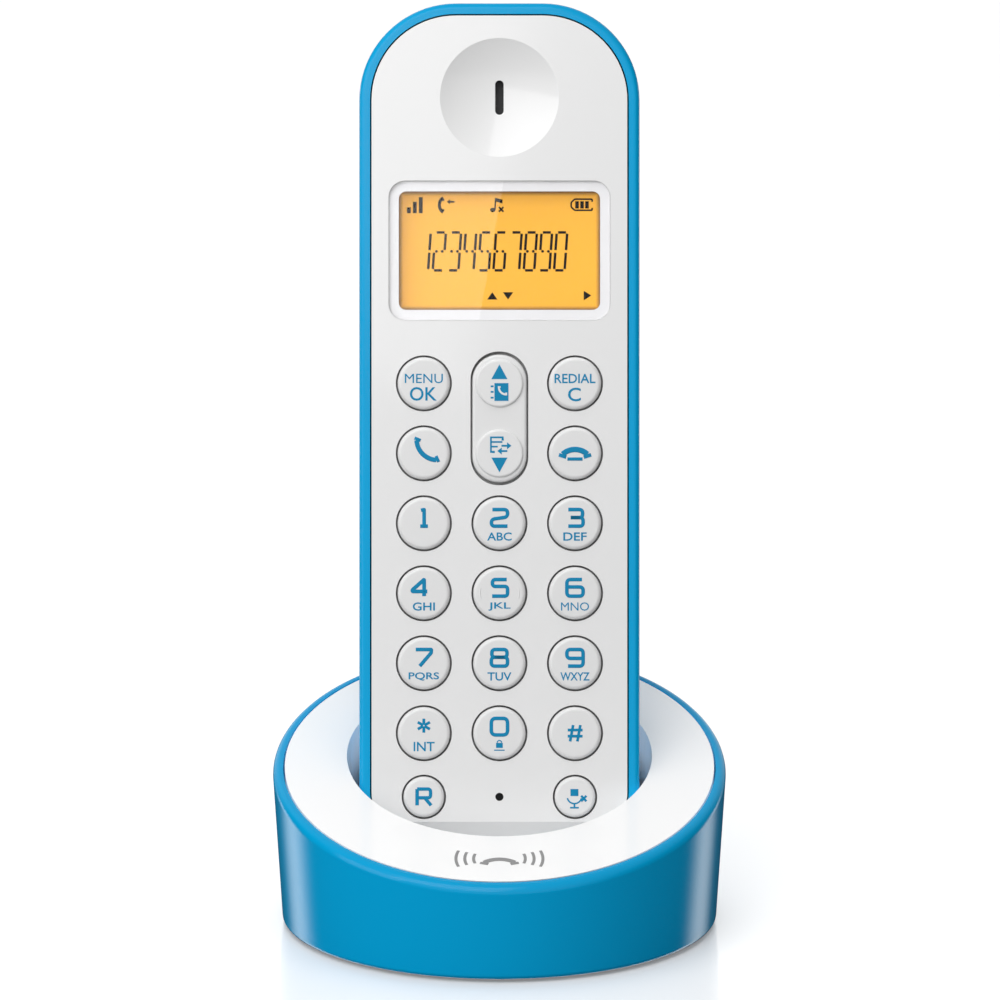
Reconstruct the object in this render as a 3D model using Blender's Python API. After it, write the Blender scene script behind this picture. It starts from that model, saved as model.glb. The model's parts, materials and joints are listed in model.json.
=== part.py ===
"""A cordless phone: a handset standing in a round charging base. Metres, +Z up, the front faces -Y."""

import math

import bmesh
import bpy
from mathutils import Matrix, Vector

# Driving dimensions, in metres and degrees.
gap = 0.0003
cell_radius = 0.0052

handset_lean = 15.7
handset_depth_in_well = 0.01376
handset_width = 0.048
handset_length = 0.147
handset_thickness = 2 * cell_radius + 0.0116
handset_setback = 0.0104 - 0.7 * handset_thickness
handset_top_radius = 0.0166
handset_bottom_radius = 0.012
back_round = 0.0095
body_wall = 0.00185
rim_width = body_wall + 0.00025
chin_height = 0.007
chin_angle = 35.0

well_radius = handset_width / 2 + 0.0022
well_setback = 0.4 * handset_thickness - 0.0053
well_wall = 0.0015
well_floor_half_width = handset_width / 2 + 0.0012
well_floor_half_depth = handset_thickness / 2 + 0.005

base_rim_radius = well_radius + 0.0127
base_foot_radius = base_rim_radius - 0.0017
base_height = 0.0276
base_wall = 0.0019
base_bottom = 0.0005
top_tilt = 15.8
disc_radius = base_rim_radius - 0.0021
disc_thickness = 0.0022
ledge_width = 0.0016
ledge_thickness = 0.0016
plate_thickness = 0.002

cover_thickness = 0.002
cover_depth = 0.006
surround = 0.0017
key_radius = 0.0045
small_key_radius = 0.0035
key_proud = 0.0005
key_flange = 0.0006
key_flange_reach = 0.0008
small_flange_reach = 0.0005
key_travel = 0.0006
column_pitch = 0.01294
row_pitch = 0.01198
first_row_height = 0.0819
small_row_height = 0.0111
rocker_width = 0.0093
rocker_length = 0.0219
rocker_end_gap = 0.00035

lens_width = 0.0378
lens_height = 0.0238
lens_radius = 0.0028
lens_thickness = 0.0008
bezel_thickness = 0.0005
view_width = 0.0345
view_height = 0.0203
view_radius = 0.0013
display_height = 0.10465
lcd_thickness = 0.0014
backlight_thickness = 0.0013

dish_radius = 0.0102
dish_depth = 0.0016
ear_height = 0.13087
slot_width = 0.00145
slot_length = 0.0059

mat_face = 0.0043
mat_thickness = 0.0012
board_face = 0.007
board_thickness = 0.0011
cell_length = 0.0445
cell_floor = 0.0135
pocket_wall = 0.0011
door_width = 4 * cell_radius + 0.0066
door_bottom = 0.006
door_top = 0.0667
screw_spread = 0.00647
boss_radius = 0.0025
screw_radius = 0.0011
contact_spread = 0.009
contact_depth = 0.01
contact_recess = 0.0012

foot_radius = 0.004
foot_ring = base_foot_radius - 0.0092
base_boss_ring = base_foot_radius - 0.005
base_boss_radius = 0.0038
base_screw_head = 0.002
bay_half_width = 0.0136
bay_wall_face = base_foot_radius - 0.0022
bay_top = 0.0155
jack_width = 0.0112
jack_height = 0.0095
jack_depth = 0.0094
power_width = 0.009
page_radius = 0.004
page_height = 0.0245
page_travel = 0.0008
page_proud = 0.0012

round_segments = 48
key_sides = 16

white = (0.83, 0.83, 0.83)
blue = (0.0, 0.27, 0.52)
dark = (0.06, 0.06, 0.06)
green = (0.03, 0.22, 0.10)
steel = (0.62, 0.62, 0.60)
gold = (0.75, 0.55, 0.22)


def clear_scene():
    for item in list(bpy.data.objects):
        bpy.data.objects.remove(item, do_unlink=True)


def new_collection(name):
    collection = bpy.data.collections.new(name)
    bpy.context.scene.collection.children.link(collection)
    return collection


def material(name, colour, roughness=0.4, metallic=0.0):
    made = bpy.data.materials.new(name)
    made.use_nodes = True
    shader = made.node_tree.nodes["Principled BSDF"]
    shader.inputs["Base Color"].default_value = (*colour, 1.0)
    shader.inputs["Roughness"].default_value = roughness
    shader.inputs["Metallic"].default_value = metallic
    return made


def empty(name, parent, location, tilt=0.0):
    made = bpy.data.objects.new(name, None)
    parts.objects.link(made)
    made.parent = parent
    made.location = location
    made.rotation_euler = (math.radians(tilt), 0.0, 0.0)
    return made


def place(mesh_data, name, parent, collection, location=(0.0, 0.0, 0.0)):
    made = bpy.data.objects.new(name, mesh_data)
    collection.objects.link(made)
    made.parent = parent
    made.location = location
    return made


def mesh_from(shape, name):
    bmesh.ops.recalc_face_normals(shape, faces=shape.faces)
    data = bpy.data.meshes.new(name)
    shape.to_mesh(data)
    shape.free()
    return data


def rounded_outline(width, bottom, top, bottom_radius, top_radius, arc_steps=6):
    """Points (x, z) of an upright rectangle with round corners, counter-clockwise."""
    half = width / 2
    corners = (
        (half - bottom_radius, bottom + bottom_radius, bottom_radius, -90),
        (half - top_radius, top - top_radius, top_radius, 0),
        (-half + top_radius, top - top_radius, top_radius, 90),
        (-half + bottom_radius, bottom + bottom_radius, bottom_radius, 180),
    )
    points = []
    for x, z, radius, start in corners:
        for step in range(arc_steps + 1):
            angle = math.radians(start + 90 * step / arc_steps)
            points.append((x + radius * math.cos(angle), z + radius * math.sin(angle)))
    return points


def slab(points, front, back):
    """A flat outline in X and Z, drawn out along Y from front to back."""
    shape = bmesh.new()
    corners = [shape.verts.new((x, front, z)) for x, z in points]
    face = shape.faces.new(corners)
    drawn = bmesh.ops.extrude_face_region(shape, geom=[face])
    moved = [item for item in drawn["geom"] if isinstance(item, bmesh.types.BMVert)]
    bmesh.ops.translate(shape, verts=moved, vec=(0.0, back - front, 0.0))
    bmesh.ops.remove_doubles(shape, verts=shape.verts, dist=1e-6)
    return shape


def round_rim(shape, inside, width, segments=2):
    """Rounds the edges whose two ends both satisfy inside."""
    edges = [edge for edge in shape.edges if all(inside(v.co) for v in edge.verts)]
    bmesh.ops.bevel(shape, geom=edges, offset=width, segments=segments, profile=0.5, affect="EDGES")
    return shape


def block(low, high):
    shape = bmesh.new()
    size = Vector(high) - Vector(low)
    centre = (Vector(high) + Vector(low)) / 2
    bmesh.ops.create_cube(shape, size=1.0, matrix=Matrix.Translation(centre) @ Matrix.Diagonal((*size, 1.0)))
    return shape


def drum(radius, centre, length, axis="Z", segments=round_segments, top_radius=None, shape=None):
    """A cylinder or cone of this length, centred at centre, along axis."""
    shape = shape or bmesh.new()
    turn = Matrix() if axis == "Z" else Matrix.Rotation(math.radians(-90), 4, "X")
    bmesh.ops.create_cone(
        shape,
        cap_ends=True,
        segments=segments,
        radius1=radius,
        radius2=radius if top_radius is None else top_radius,
        depth=length,
        matrix=Matrix.Translation(centre) @ turn,
    )
    return shape


def cutter(shape, name, parent):
    made = place(mesh_from(shape, name), name, parent, tools)
    made.hide_render = True
    made.display_type = "WIRE"
    return made


def combine(target, other, operation="DIFFERENCE"):
    change = target.modifiers.new(operation.lower(), "BOOLEAN")
    change.operation = operation
    change.solver = "EXACT"
    change.object = other
    return target


def part(shape, name, parent, look):
    made = place(mesh_from(shape, name), name, parent, parts)
    made.data.materials.append(look)
    made.data.shade_smooth()
    made.data.set_sharp_from_angle(angle=math.radians(35))
    return made


# The drafted wall of the base runs from a level ring at the foot to a ring in the sloping top plane.
def base_loft(inset, low, high, segments=round_segments):
    """The base's outline moved inwards by inset, from height low up to high above the top plane."""
    foot = base_foot_radius - inset
    rim = base_rim_radius - inset
    shape = drum(foot, (0.0, 0.0, 0.5), 1.0, segments=segments, top_radius=rim)
    lean = Matrix.Translation((0.0, 0.0, base_height)) @ Matrix.Rotation(math.radians(top_tilt), 4, "X")
    for vertex in shape.verts:
        if vertex.co.z < 0.5:
            vertex.co.z = low
        else:
            vertex.co = lean @ Vector((vertex.co.x, vertex.co.y, high))
    return shape


def well_loft(offset, floor_offset, raise_top):
    """The space of the well, grown by offset, from its oval floor to its round mouth."""
    shape = drum(1.0, (0.0, 0.0, 0.5), 1.0)
    mouth = Matrix.Translation((0.0, 0.0, base_height)) @ Matrix.Rotation(math.radians(top_tilt), 4, "X")
    floor = handset_matrix()
    for vertex in shape.verts:
        x, y = vertex.co.x, vertex.co.y
        if vertex.co.z < 0.5:
            deep = handset_thickness / 2 + y * (well_floor_half_depth + offset)
            vertex.co = floor @ Vector((x * (well_floor_half_width + offset), deep, -gap - floor_offset))
        else:
            reach = well_radius + offset
            vertex.co = mouth @ Vector((x * reach, well_setback + y * reach, raise_top))
    return shape


def handset_matrix():
    plane = Matrix.Translation((0.0, 0.0, base_height)) @ Matrix.Rotation(math.radians(top_tilt), 4, "X")
    crossing = plane @ Vector((0.0, handset_setback, 0.0))
    lean = Matrix.Rotation(math.radians(-handset_lean), 4, "X")
    return Matrix.Translation(crossing) @ lean @ Matrix.Translation((0.0, 0.0, -handset_depth_in_well))


def make_base_housing():
    outer = base_loft(0.0, base_bottom, 0.0)
    tilt = math.tan(math.radians(top_tilt))
    round_rim(outer, lambda p: p.z - base_height - p.y * tilt > -0.001, 0.0013, 2)
    round_rim(outer, lambda p: p.z < base_bottom + 1e-6, 0.0012, 1)
    housing = part(outer, "base_housing", root, blue_gloss)
    under = disc_thickness + gap + ledge_thickness
    combine(housing, cutter(base_loft(base_wall, 0.0, -under), "housing_hollow", root))
    seat = drum(disc_radius + gap, (0.0, 0.0, 0.01 - disc_thickness - gap), 0.02, segments=64)
    combine(housing, cutter(seat, "disc_seat", tilt_frame))
    mouth = drum(disc_radius - ledge_width, (0.0, 0.0, 0.0), 0.02)
    combine(housing, cutter(mouth, "ledge_mouth", tilt_frame))
    # The rear bay: a flat wall across the back, and the space outside it.
    solid = block(
        (-bay_half_width - base_wall, bay_wall_face - base_wall + gap, base_bottom + 0.0001),
        (bay_half_width + base_wall, 0.05, bay_top + base_wall),
    )
    bay_solid = cutter(solid, "bay_solid", root)
    limit = cutter(base_loft(base_wall / 2, -0.01, -0.001), "bay_limit", root)
    bay_solid = combine(bay_solid, limit, "INTERSECT")
    combine(housing, bay_solid, "UNION")
    bay = block((-bay_half_width, bay_wall_face, -0.01), (bay_half_width, 0.05, bay_top))
    combine(housing, cutter(bay, "bay_space", root))
    line_mouth = block(
        (line_jack_x - 0.0046, 0.03, jack_floor + 0.0014),
        (line_jack_x + 0.0046, 0.04, jack_floor + jack_height - 0.0011),
    )
    combine(housing, cutter(line_mouth, "line_mouth", root))
    power_mouth = drum(0.0035, (power_jack_x, 0.035, jack_floor + power_width / 2), 0.01, "Y", 24)
    combine(housing, cutter(power_mouth, "power_mouth", root))
    page_hole = drum(page_radius + gap, (0.0, base_foot_radius, page_height), 0.012, "Y", 32)
    combine(housing, cutter(page_hole, "page_hole", root))
    for number, angle in enumerate(base_screw_angles):
        spot = spot_on_ring(base_boss_ring, angle)
        floor = base_bottom + plate_thickness + 2 * gap
        boss = drum(base_boss_radius, (*spot, floor + 0.0035), 0.007, segments=24)
        combine(housing, cutter(boss, f"base_boss_{number}", root), "UNION")
        hole = drum(0.0014, (*spot, floor + 0.002), 0.007, segments=16)
        combine(housing, cutter(hole, f"base_boss_hole_{number}", root))
    return housing


def spot_on_ring(radius, angle):
    return radius * math.cos(math.radians(angle)), radius * math.sin(math.radians(angle))


def make_base_top():
    disc = drum(disc_radius, (0.0, 0.0, -disc_thickness / 2), disc_thickness, segments=64)
    round_rim(disc, lambda p: p.z > -1e-6, 0.0004, 1)
    top = part(disc, "base_top", tilt_frame, white_gloss)
    combine(top, cutter(well_loft(well_wall, well_wall, -disc_thickness / 2), "well_shell", root), "UNION")
    combine(top, cutter(well_loft(0.0, 0.0, 0.0003), "well_space", root))
    for side in (-1, 1):
        hole = drum(0.0015, (side * contact_spread, contact_depth, 0.0), 0.01, segments=20)
        combine(top, cutter(hole, f"pin_hole_{side + 1}", handset_frame))


def make_base_plate():
    plate_radius = base_foot_radius - base_wall - 2 * gap
    plate = drum(plate_radius, (0.0, 0.0, base_bottom + plate_thickness / 2), plate_thickness)
    bottom = part(plate, "base_plate", root, dark_plastic)
    back = block((-0.03, bay_wall_face - base_wall, -0.01), (0.03, 0.05, 0.01))
    combine(bottom, cutter(back, "plate_back", root))
    for number, angle in enumerate(base_screw_angles):
        spot = spot_on_ring(base_boss_ring, angle)
        low = base_bottom
        hole = drum(0.0017, (*spot, low), 0.02, segments=20)
        combine(bottom, cutter(hole, f"plate_hole_{number}", root))
        sink = drum(base_screw_head + gap, (*spot, low), 0.0024, segments=20)
        combine(bottom, cutter(sink, f"plate_sink_{number}", root))
        shank = drum(screw_radius, (*spot, low + 0.0035), 0.0062, segments=12)
        screw = part(shank, f"base_screw_{number + 1}", root, steel_metal)
        head = drum(base_screw_head, (*spot, low + 0.0005), 0.0009, segments=20)
        combine(screw, cutter(head, f"base_screw_head_{number}", root), "UNION")
    for number, angle in enumerate((45, 135, 225, 315)):
        spot = spot_on_ring(foot_ring, angle)
        recess = drum(foot_radius + gap, (*spot, base_bottom), 0.0014, segments=20)
        combine(bottom, cutter(recess, f"foot_recess_{number}", root))
        height = base_bottom + 0.0007 - gap
        foot = drum(foot_radius, (*spot, height / 2), height, segments=20)
        part(foot, f"foot_{number + 1}", root, rubber)


def make_sockets():
    top = base_bottom + plate_thickness + 0.0006
    depth = bay_wall_face - base_wall - 2 * gap
    board_front = depth + handset_thickness - 0.0345
    board = block((-0.015, board_front, top), (0.015, depth - 0.001, top + 0.0012))
    part(board, "base_board", root, board_green)
    line = block(
        (line_jack_x - jack_width / 2, depth - jack_depth, jack_floor),
        (line_jack_x + jack_width / 2, depth, jack_floor + jack_height),
    )
    line = part(line, "line_jack", root, dark_plastic)
    socket = block(
        (line_jack_x - 0.0043, depth - jack_depth + 0.0012, jack_floor + 0.0018),
        (line_jack_x + 0.0043, 0.05, jack_floor + jack_height - 0.0015),
    )
    combine(line, cutter(socket, "line_socket", root))
    power = block(
        (power_jack_x - power_width / 2, depth - jack_depth, jack_floor),
        (power_jack_x + power_width / 2, depth, jack_floor + power_width),
    )
    power = part(power, "power_jack", root, dark_plastic)
    middle = jack_floor + power_width / 2
    hole = drum(0.0028, (power_jack_x, depth, middle), 2 * jack_depth - 0.003, "Y", 24)
    combine(power, cutter(hole, "power_socket", root))
    pin = drum(0.0008, (power_jack_x, depth - jack_depth / 2 - 0.0008, middle), jack_depth - 0.003, "Y", 12)
    combine(power, cutter(pin, "power_pin", root), "UNION")


def back_wall_at(height):
    """How far behind the base's axis its outer wall stands, at this height."""
    tilt = math.radians(top_tilt)
    rim_height = base_height + base_rim_radius * math.sin(tilt)
    share = (height - base_bottom) / (rim_height - base_bottom)
    return base_foot_radius + share * (base_rim_radius * math.cos(tilt) - base_foot_radius)


def make_page_button():
    outside = back_wall_at(page_height) + page_proud
    board_back = outside - 0.0085
    board = block(
        (-0.006, board_back - 0.0012, page_height - 0.004),
        (0.006, board_back, page_height + 0.0045),
    )
    part(board, "page_board", root, board_green)
    front = board_back + gap
    body = block((-0.0025, front, page_height - 0.0025), (0.0025, front + 0.0022, page_height + 0.0025))
    switch = part(body, "page_switch", root, dark_plastic)
    stem = drum(0.0012, (0.0, front + 0.0025, page_height), 0.0014, "Y", 16)
    combine(switch, cutter(stem, "switch_stem", root), "UNION")
    inside = front + 0.0032 + page_travel + 0.0001
    button = drum(page_radius, (0.0, (inside + outside) / 2, page_height), outside - inside, "Y", 24)
    round_rim(button, lambda p: p.y > outside - 1e-6, 0.0005, 1)
    part(button, "page_button", root, blue_gloss)


def make_charging_pins():
    below = -gap - well_wall
    seat = below - 0.0040
    board = block((-0.013, 0.003, seat - 0.001), (0.013, contact_depth + 0.003, seat))
    part(board, "charge_board", handset_frame, board_green)
    for side, word in ((-1, "left"), (1, "right")):
        spot = (side * contact_spread, contact_depth)
        top = contact_recess - gap
        collar_top = below - 0.0004
        pin = drum(0.0012, (*spot, (top + collar_top - 0.0008) / 2), top - collar_top + 0.0008, segments=16)
        round_rim(pin, lambda p: p.z > top - 1e-6, 0.0004, 2)
        pin = part(pin, f"charge_pin_{word}", handset_frame, gold_metal)
        collar = drum(0.0019, (*spot, collar_top - 0.0005), 0.001, segments=20)
        combine(pin, cutter(collar, f"pin_collar_{word}", handset_frame), "UNION")
        coil_low = seat + gap
        coil_high = collar_top - 0.001 - gap
        make_spring(f"charge_spring_{word}", handset_frame, spot, coil_low, coil_high, 0.0015, 0.0002)


def make_spring(name, parent, spot, low, high, radius, wire):
    """A helix of round wire standing on spot between the two heights."""
    turns = 2.5
    count = int(turns * 8) + 1
    line = bpy.data.curves.new(name, "CURVE")
    line.dimensions = "3D"
    line.bevel_depth = wire
    line.bevel_resolution = 0
    line.use_fill_caps = True
    spline = line.splines.new("POLY")
    spline.points.add(count - 1)
    for number, point in enumerate(spline.points):
        share = number / (count - 1)
        angle = 2 * math.pi * turns * share
        height = low + wire + (high - low - 2 * wire) * share
        point.co = (spot[0] + radius * math.cos(angle), spot[1] + radius * math.sin(angle), height, 1.0)
    made = place(line, name, parent, parts)
    line.materials.append(steel_metal)
    return made


# The handset lies in its own frame: its foot at the origin, its front at y = 0.
def handset_outline(inset, arc_steps=6):
    return rounded_outline(
        handset_width - 2 * inset,
        inset,
        handset_length - inset,
        handset_bottom_radius - inset,
        handset_top_radius - inset,
        arc_steps,
    )


def chin_cutter(inset, name):
    """All that lies in front of the chin's slope, which is moved back by inset."""
    shape = block((-0.1, -0.1, -0.1), (0.1, 0.0, 0.1))
    slope = Matrix.Rotation(math.radians(chin_angle), 4, "X")
    slant = math.tan(math.radians(chin_angle / 2))
    place_at = Matrix.Translation((0.0, inset, chin_height + inset * slant))
    bmesh.ops.transform(shape, matrix=place_at @ slope, verts=shape.verts)
    return cutter(shape, name, handset_frame)


def body_solid():
    shape = slab(handset_outline(0.0), 0.0, handset_thickness)
    round_rim(shape, lambda p: p.y > handset_thickness - 1e-6, back_round, 3)
    round_rim(shape, lambda p: p.y < 1e-6, 0.0008, 1)
    return shape


def make_rear_cover():
    cover = part(body_solid(), "rear_cover", handset_frame, blue_gloss)
    cavity = slab(handset_outline(body_wall), -0.01, handset_thickness - body_wall)
    deepest = handset_thickness - body_wall - 1e-6
    round_rim(cavity, lambda p: p.y > deepest, back_round - body_wall, 3)
    combine(cover, cutter(cavity, "cavity", handset_frame))
    pocket = block(
        (-pocket_half_width - pocket_wall, pocket_front, pocket_bottom - pocket_wall),
        (pocket_half_width + pocket_wall, handset_thickness - body_wall / 2, pocket_top + pocket_wall),
    )
    combine(cover, cutter(pocket, "pocket_walls", handset_frame), "UNION")
    for side in (-1, 1):
        middle = (side * screw_spread, (boss_meet + door_seat) / 2 + 0.0004, screw_height)
        boss = drum(boss_radius, middle, door_seat - boss_meet, "Y", 20)
        combine(cover, cutter(boss, f"rear_boss_{side + 1}", handset_frame), "UNION")
    space = block(
        (-pocket_half_width, pocket_front + pocket_wall, pocket_bottom),
        (pocket_half_width, 0.05, pocket_top),
    )
    combine(cover, cutter(space, "pocket_space", handset_frame))
    recess = block((-door_width / 2 - gap, door_seat, -0.01), (door_width / 2 + gap, 0.05, door_top + gap))
    combine(cover, cutter(recess, "door_recess", handset_frame))
    combine(cover, chin_cutter(0.0, "chin_outside"))
    for side in (-1, 1):
        spot = (side * screw_spread, 0.02, screw_height)
        way = drum(screw_radius + gap, spot, 0.02, "Y", 16)
        combine(cover, cutter(way, f"screw_way_{side + 1}", handset_frame))
        head = drum(0.0021 + gap, (spot[0], door_seat, screw_height), 0.003, "Y", 20)
        combine(cover, cutter(head, f"screw_sink_{side + 1}", handset_frame))
        opening = block(
            (side * contact_spread - 0.0017, contact_depth - 0.0025, -0.01),
            (side * contact_spread + 0.0017, contact_depth + 0.0025, 0.01),
        )
        combine(cover, cutter(opening, f"contact_way_{side + 1}", handset_frame))
    for step in range(ringer_slots):
        height = ringer_height + (step - (ringer_slots - 1) / 2) * ringer_pitch
        slit = block((-0.006, 0.018, height - 0.0006), (0.006, 0.03, height + 0.0006))
        combine(cover, cutter(slit, f"ringer_slot_{step}", handset_frame))


def make_front_cover():
    shell = slab(handset_outline(rim_width), 0.0, cover_depth)
    round_rim(shell, lambda p: p.y < 1e-6, 0.0004, 1)
    cover = part(shell, "front_cover", handset_frame, white_gloss)
    combine(cover, chin_cutter(0.0, "chin_front"))
    inside = slab(handset_outline(rim_width + 0.0014), cover_thickness, 0.03)
    hollow = cutter(inside, "cover_hollow", handset_frame)
    combine(hollow, chin_cutter(cover_thickness, "chin_inside"))
    combine(cover, hollow)
    frame = display_slab(surround, cover_thickness / 2, lcd_face - gap, lens_width, lens_height, lens_radius)
    combine(cover, cutter(frame, "display_surround", handset_frame), "UNION")
    low = cover_thickness / 2
    ear = drum(dish_radius + surround, (0.0, (low + ear_back) / 2, ear_height), ear_back - low, "Y", 32)
    combine(cover, cutter(ear, "ear_surround", handset_frame), "UNION")
    for side in (-1, 1):
        middle = (side * screw_spread, (low + boss_meet - gap) / 2, screw_height)
        boss = drum(boss_radius, middle, boss_meet - gap - low, "Y", 20)
        combine(cover, cutter(boss, f"front_boss_{side + 1}", handset_frame), "UNION")
        hole = drum(screw_radius + 0.0001, (side * screw_spread, boss_meet, screw_height), 0.009, "Y", 16)
        combine(cover, cutter(hole, f"front_boss_hole_{side + 1}", handset_frame))
    recess = display_slab(gap, -0.01, lens_seat, lens_width, lens_height, lens_radius)
    combine(cover, cutter(recess, "lens_recess", handset_frame))
    window = display_slab(0.0, -0.01, 0.02, view_width, view_height, view_radius)
    combine(cover, cutter(window, "display_window", handset_frame))
    combine(cover, cutter(dish_shape(), "dish_space", handset_frame))
    end = slot_width / 2 - 1e-5
    slot_low = ear_height - slot_length / 2
    slot = rounded_outline(slot_width, slot_low, slot_low + slot_length, end, end, 4)
    combine(cover, cutter(slab(slot, -0.01, 0.02), "ear_slot", handset_frame))
    holes = bmesh.new()
    for _, x, z, radius in key_places():
        drum(radius + gap, (x, 0.0, z), 0.016, "Y", key_sides, shape=holes)
    drum(0.0007, (0.0, 0.0, small_row_height), 0.016, "Y", 12, shape=holes)
    combine(cover, cutter(holes, "key_holes", handset_frame))
    combine(cover, cutter(rocker_slab(gap, rocker_end_gap, -0.01, 0.008), "rocker_hole", handset_frame))


def display_slab(grow, front, back, width, height, radius):
    bottom = display_height - height / 2 - grow
    top = display_height + height / 2 + grow
    return slab(rounded_outline(width + 2 * grow, bottom, top, radius + grow, radius + grow, 4), front, back)


def rocker_slab(grow, end_grow, front, back):
    radius = rocker_width / 2 + grow - 1e-5
    bottom = rocker_height - rocker_length / 2 - end_grow
    top = rocker_height + rocker_length / 2 + end_grow
    return slab(rounded_outline(rocker_width + 2 * grow, bottom, top, radius, radius), front, back)


def dish_shape():
    """A ball whose cap is the earpiece's dish."""
    radius = (dish_radius**2 + dish_depth**2) / (2 * dish_depth)
    shape = bmesh.new()
    turn = Matrix.Rotation(math.radians(90), 4, "X")
    centre = Matrix.Translation((0.0, dish_depth - radius, ear_height))
    bmesh.ops.create_uvsphere(shape, u_segments=24, v_segments=36, radius=radius, matrix=centre @ turn)
    return shape


def key_places():
    """Name, x, z and radius of each round key."""
    rows = (
        ("key_menu", None, "key_redial"),
        ("key_talk", None, "key_end"),
        ("key_1", "key_2", "key_3"),
        ("key_4", "key_5", "key_6"),
        ("key_7", "key_8", "key_9"),
        ("key_star", "key_0", "key_hash"),
    )
    places = []
    for row, names in enumerate(rows):
        for column, name in enumerate(names):
            if name:
                height = first_row_height - row * row_pitch
                places.append((name, (column - 1) * column_pitch, height, key_radius))
    places.append(("key_flash", -column_pitch, small_row_height, small_key_radius))
    places.append(("key_mute", column_pitch, small_row_height, small_key_radius))
    return places


def make_keys():
    flange_back = mat_face - key_travel - 0.0004
    for name, x, z, radius in key_places():
        middle = (0.0, (flange_back - key_proud) / 2, 0.0)
        body = drum(radius, middle, flange_back + key_proud, "Y", key_sides)
        key = part(body, name, handset_frame, white_gloss)
        key.location = (x, 0.0, z)
        room = (row_pitch - gap) / 2 - radius
        reach = small_flange_reach if radius == small_key_radius else min(key_flange_reach, room)
        flange = drum(radius + reach, (0.0, flange_back - key_flange / 2, 0.0), key_flange, "Y", key_sides)
        flange = cutter(flange, f"{name}_flange", handset_frame)
        flange.location = key.location
        combine(key, flange, "UNION")
    back_to_axis = Matrix.Translation((0.0, -rocker_axis, -rocker_height))
    rocker = rocker_slab(0.0, 0.0, -key_proud, flange_back)
    round_rim(rocker, lambda p: p.y < -key_proud + 1e-6, 0.0003, 1)
    rocker = part(rocker, "nav_rocker", handset_frame, white_gloss)
    skirt = rocker_slab(0.0008, 0.0007, flange_back - 0.0006, flange_back)
    skirt = cutter(skirt, "rocker_skirt", handset_frame)
    combine(rocker, skirt, "UNION")
    for item in (rocker, skirt):
        item.data.transform(back_to_axis)
        item.location = (0.0, rocker_axis, rocker_height)


def make_display():
    lens = display_slab(0.0, 0.0, lens_thickness, lens_width, lens_height, lens_radius)
    part(lens, "display_lens", handset_frame, clear)
    front = lens_thickness + gap
    plate = display_slab(-gap, front, front + bezel_thickness, lens_width, lens_height, lens_radius)
    bezel = part(plate, "display_bezel", handset_frame, silver)
    window = display_slab(0.0, -0.01, 0.02, view_width, view_height, view_radius)
    combine(bezel, cutter(window, "bezel_window", handset_frame))
    low = display_height - lens_height / 2
    high = display_height + lens_height / 2
    half = lens_width / 2
    panel = block((-half, lcd_face, low), (half, lcd_face + lcd_thickness, high))
    part(panel, "lcd_panel", handset_frame, amber)
    light_face = lcd_face + lcd_thickness + gap
    light = block((-half, light_face, low), (half, light_face + backlight_thickness, high))
    part(light, "backlight", handset_frame, white_gloss)


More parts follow.
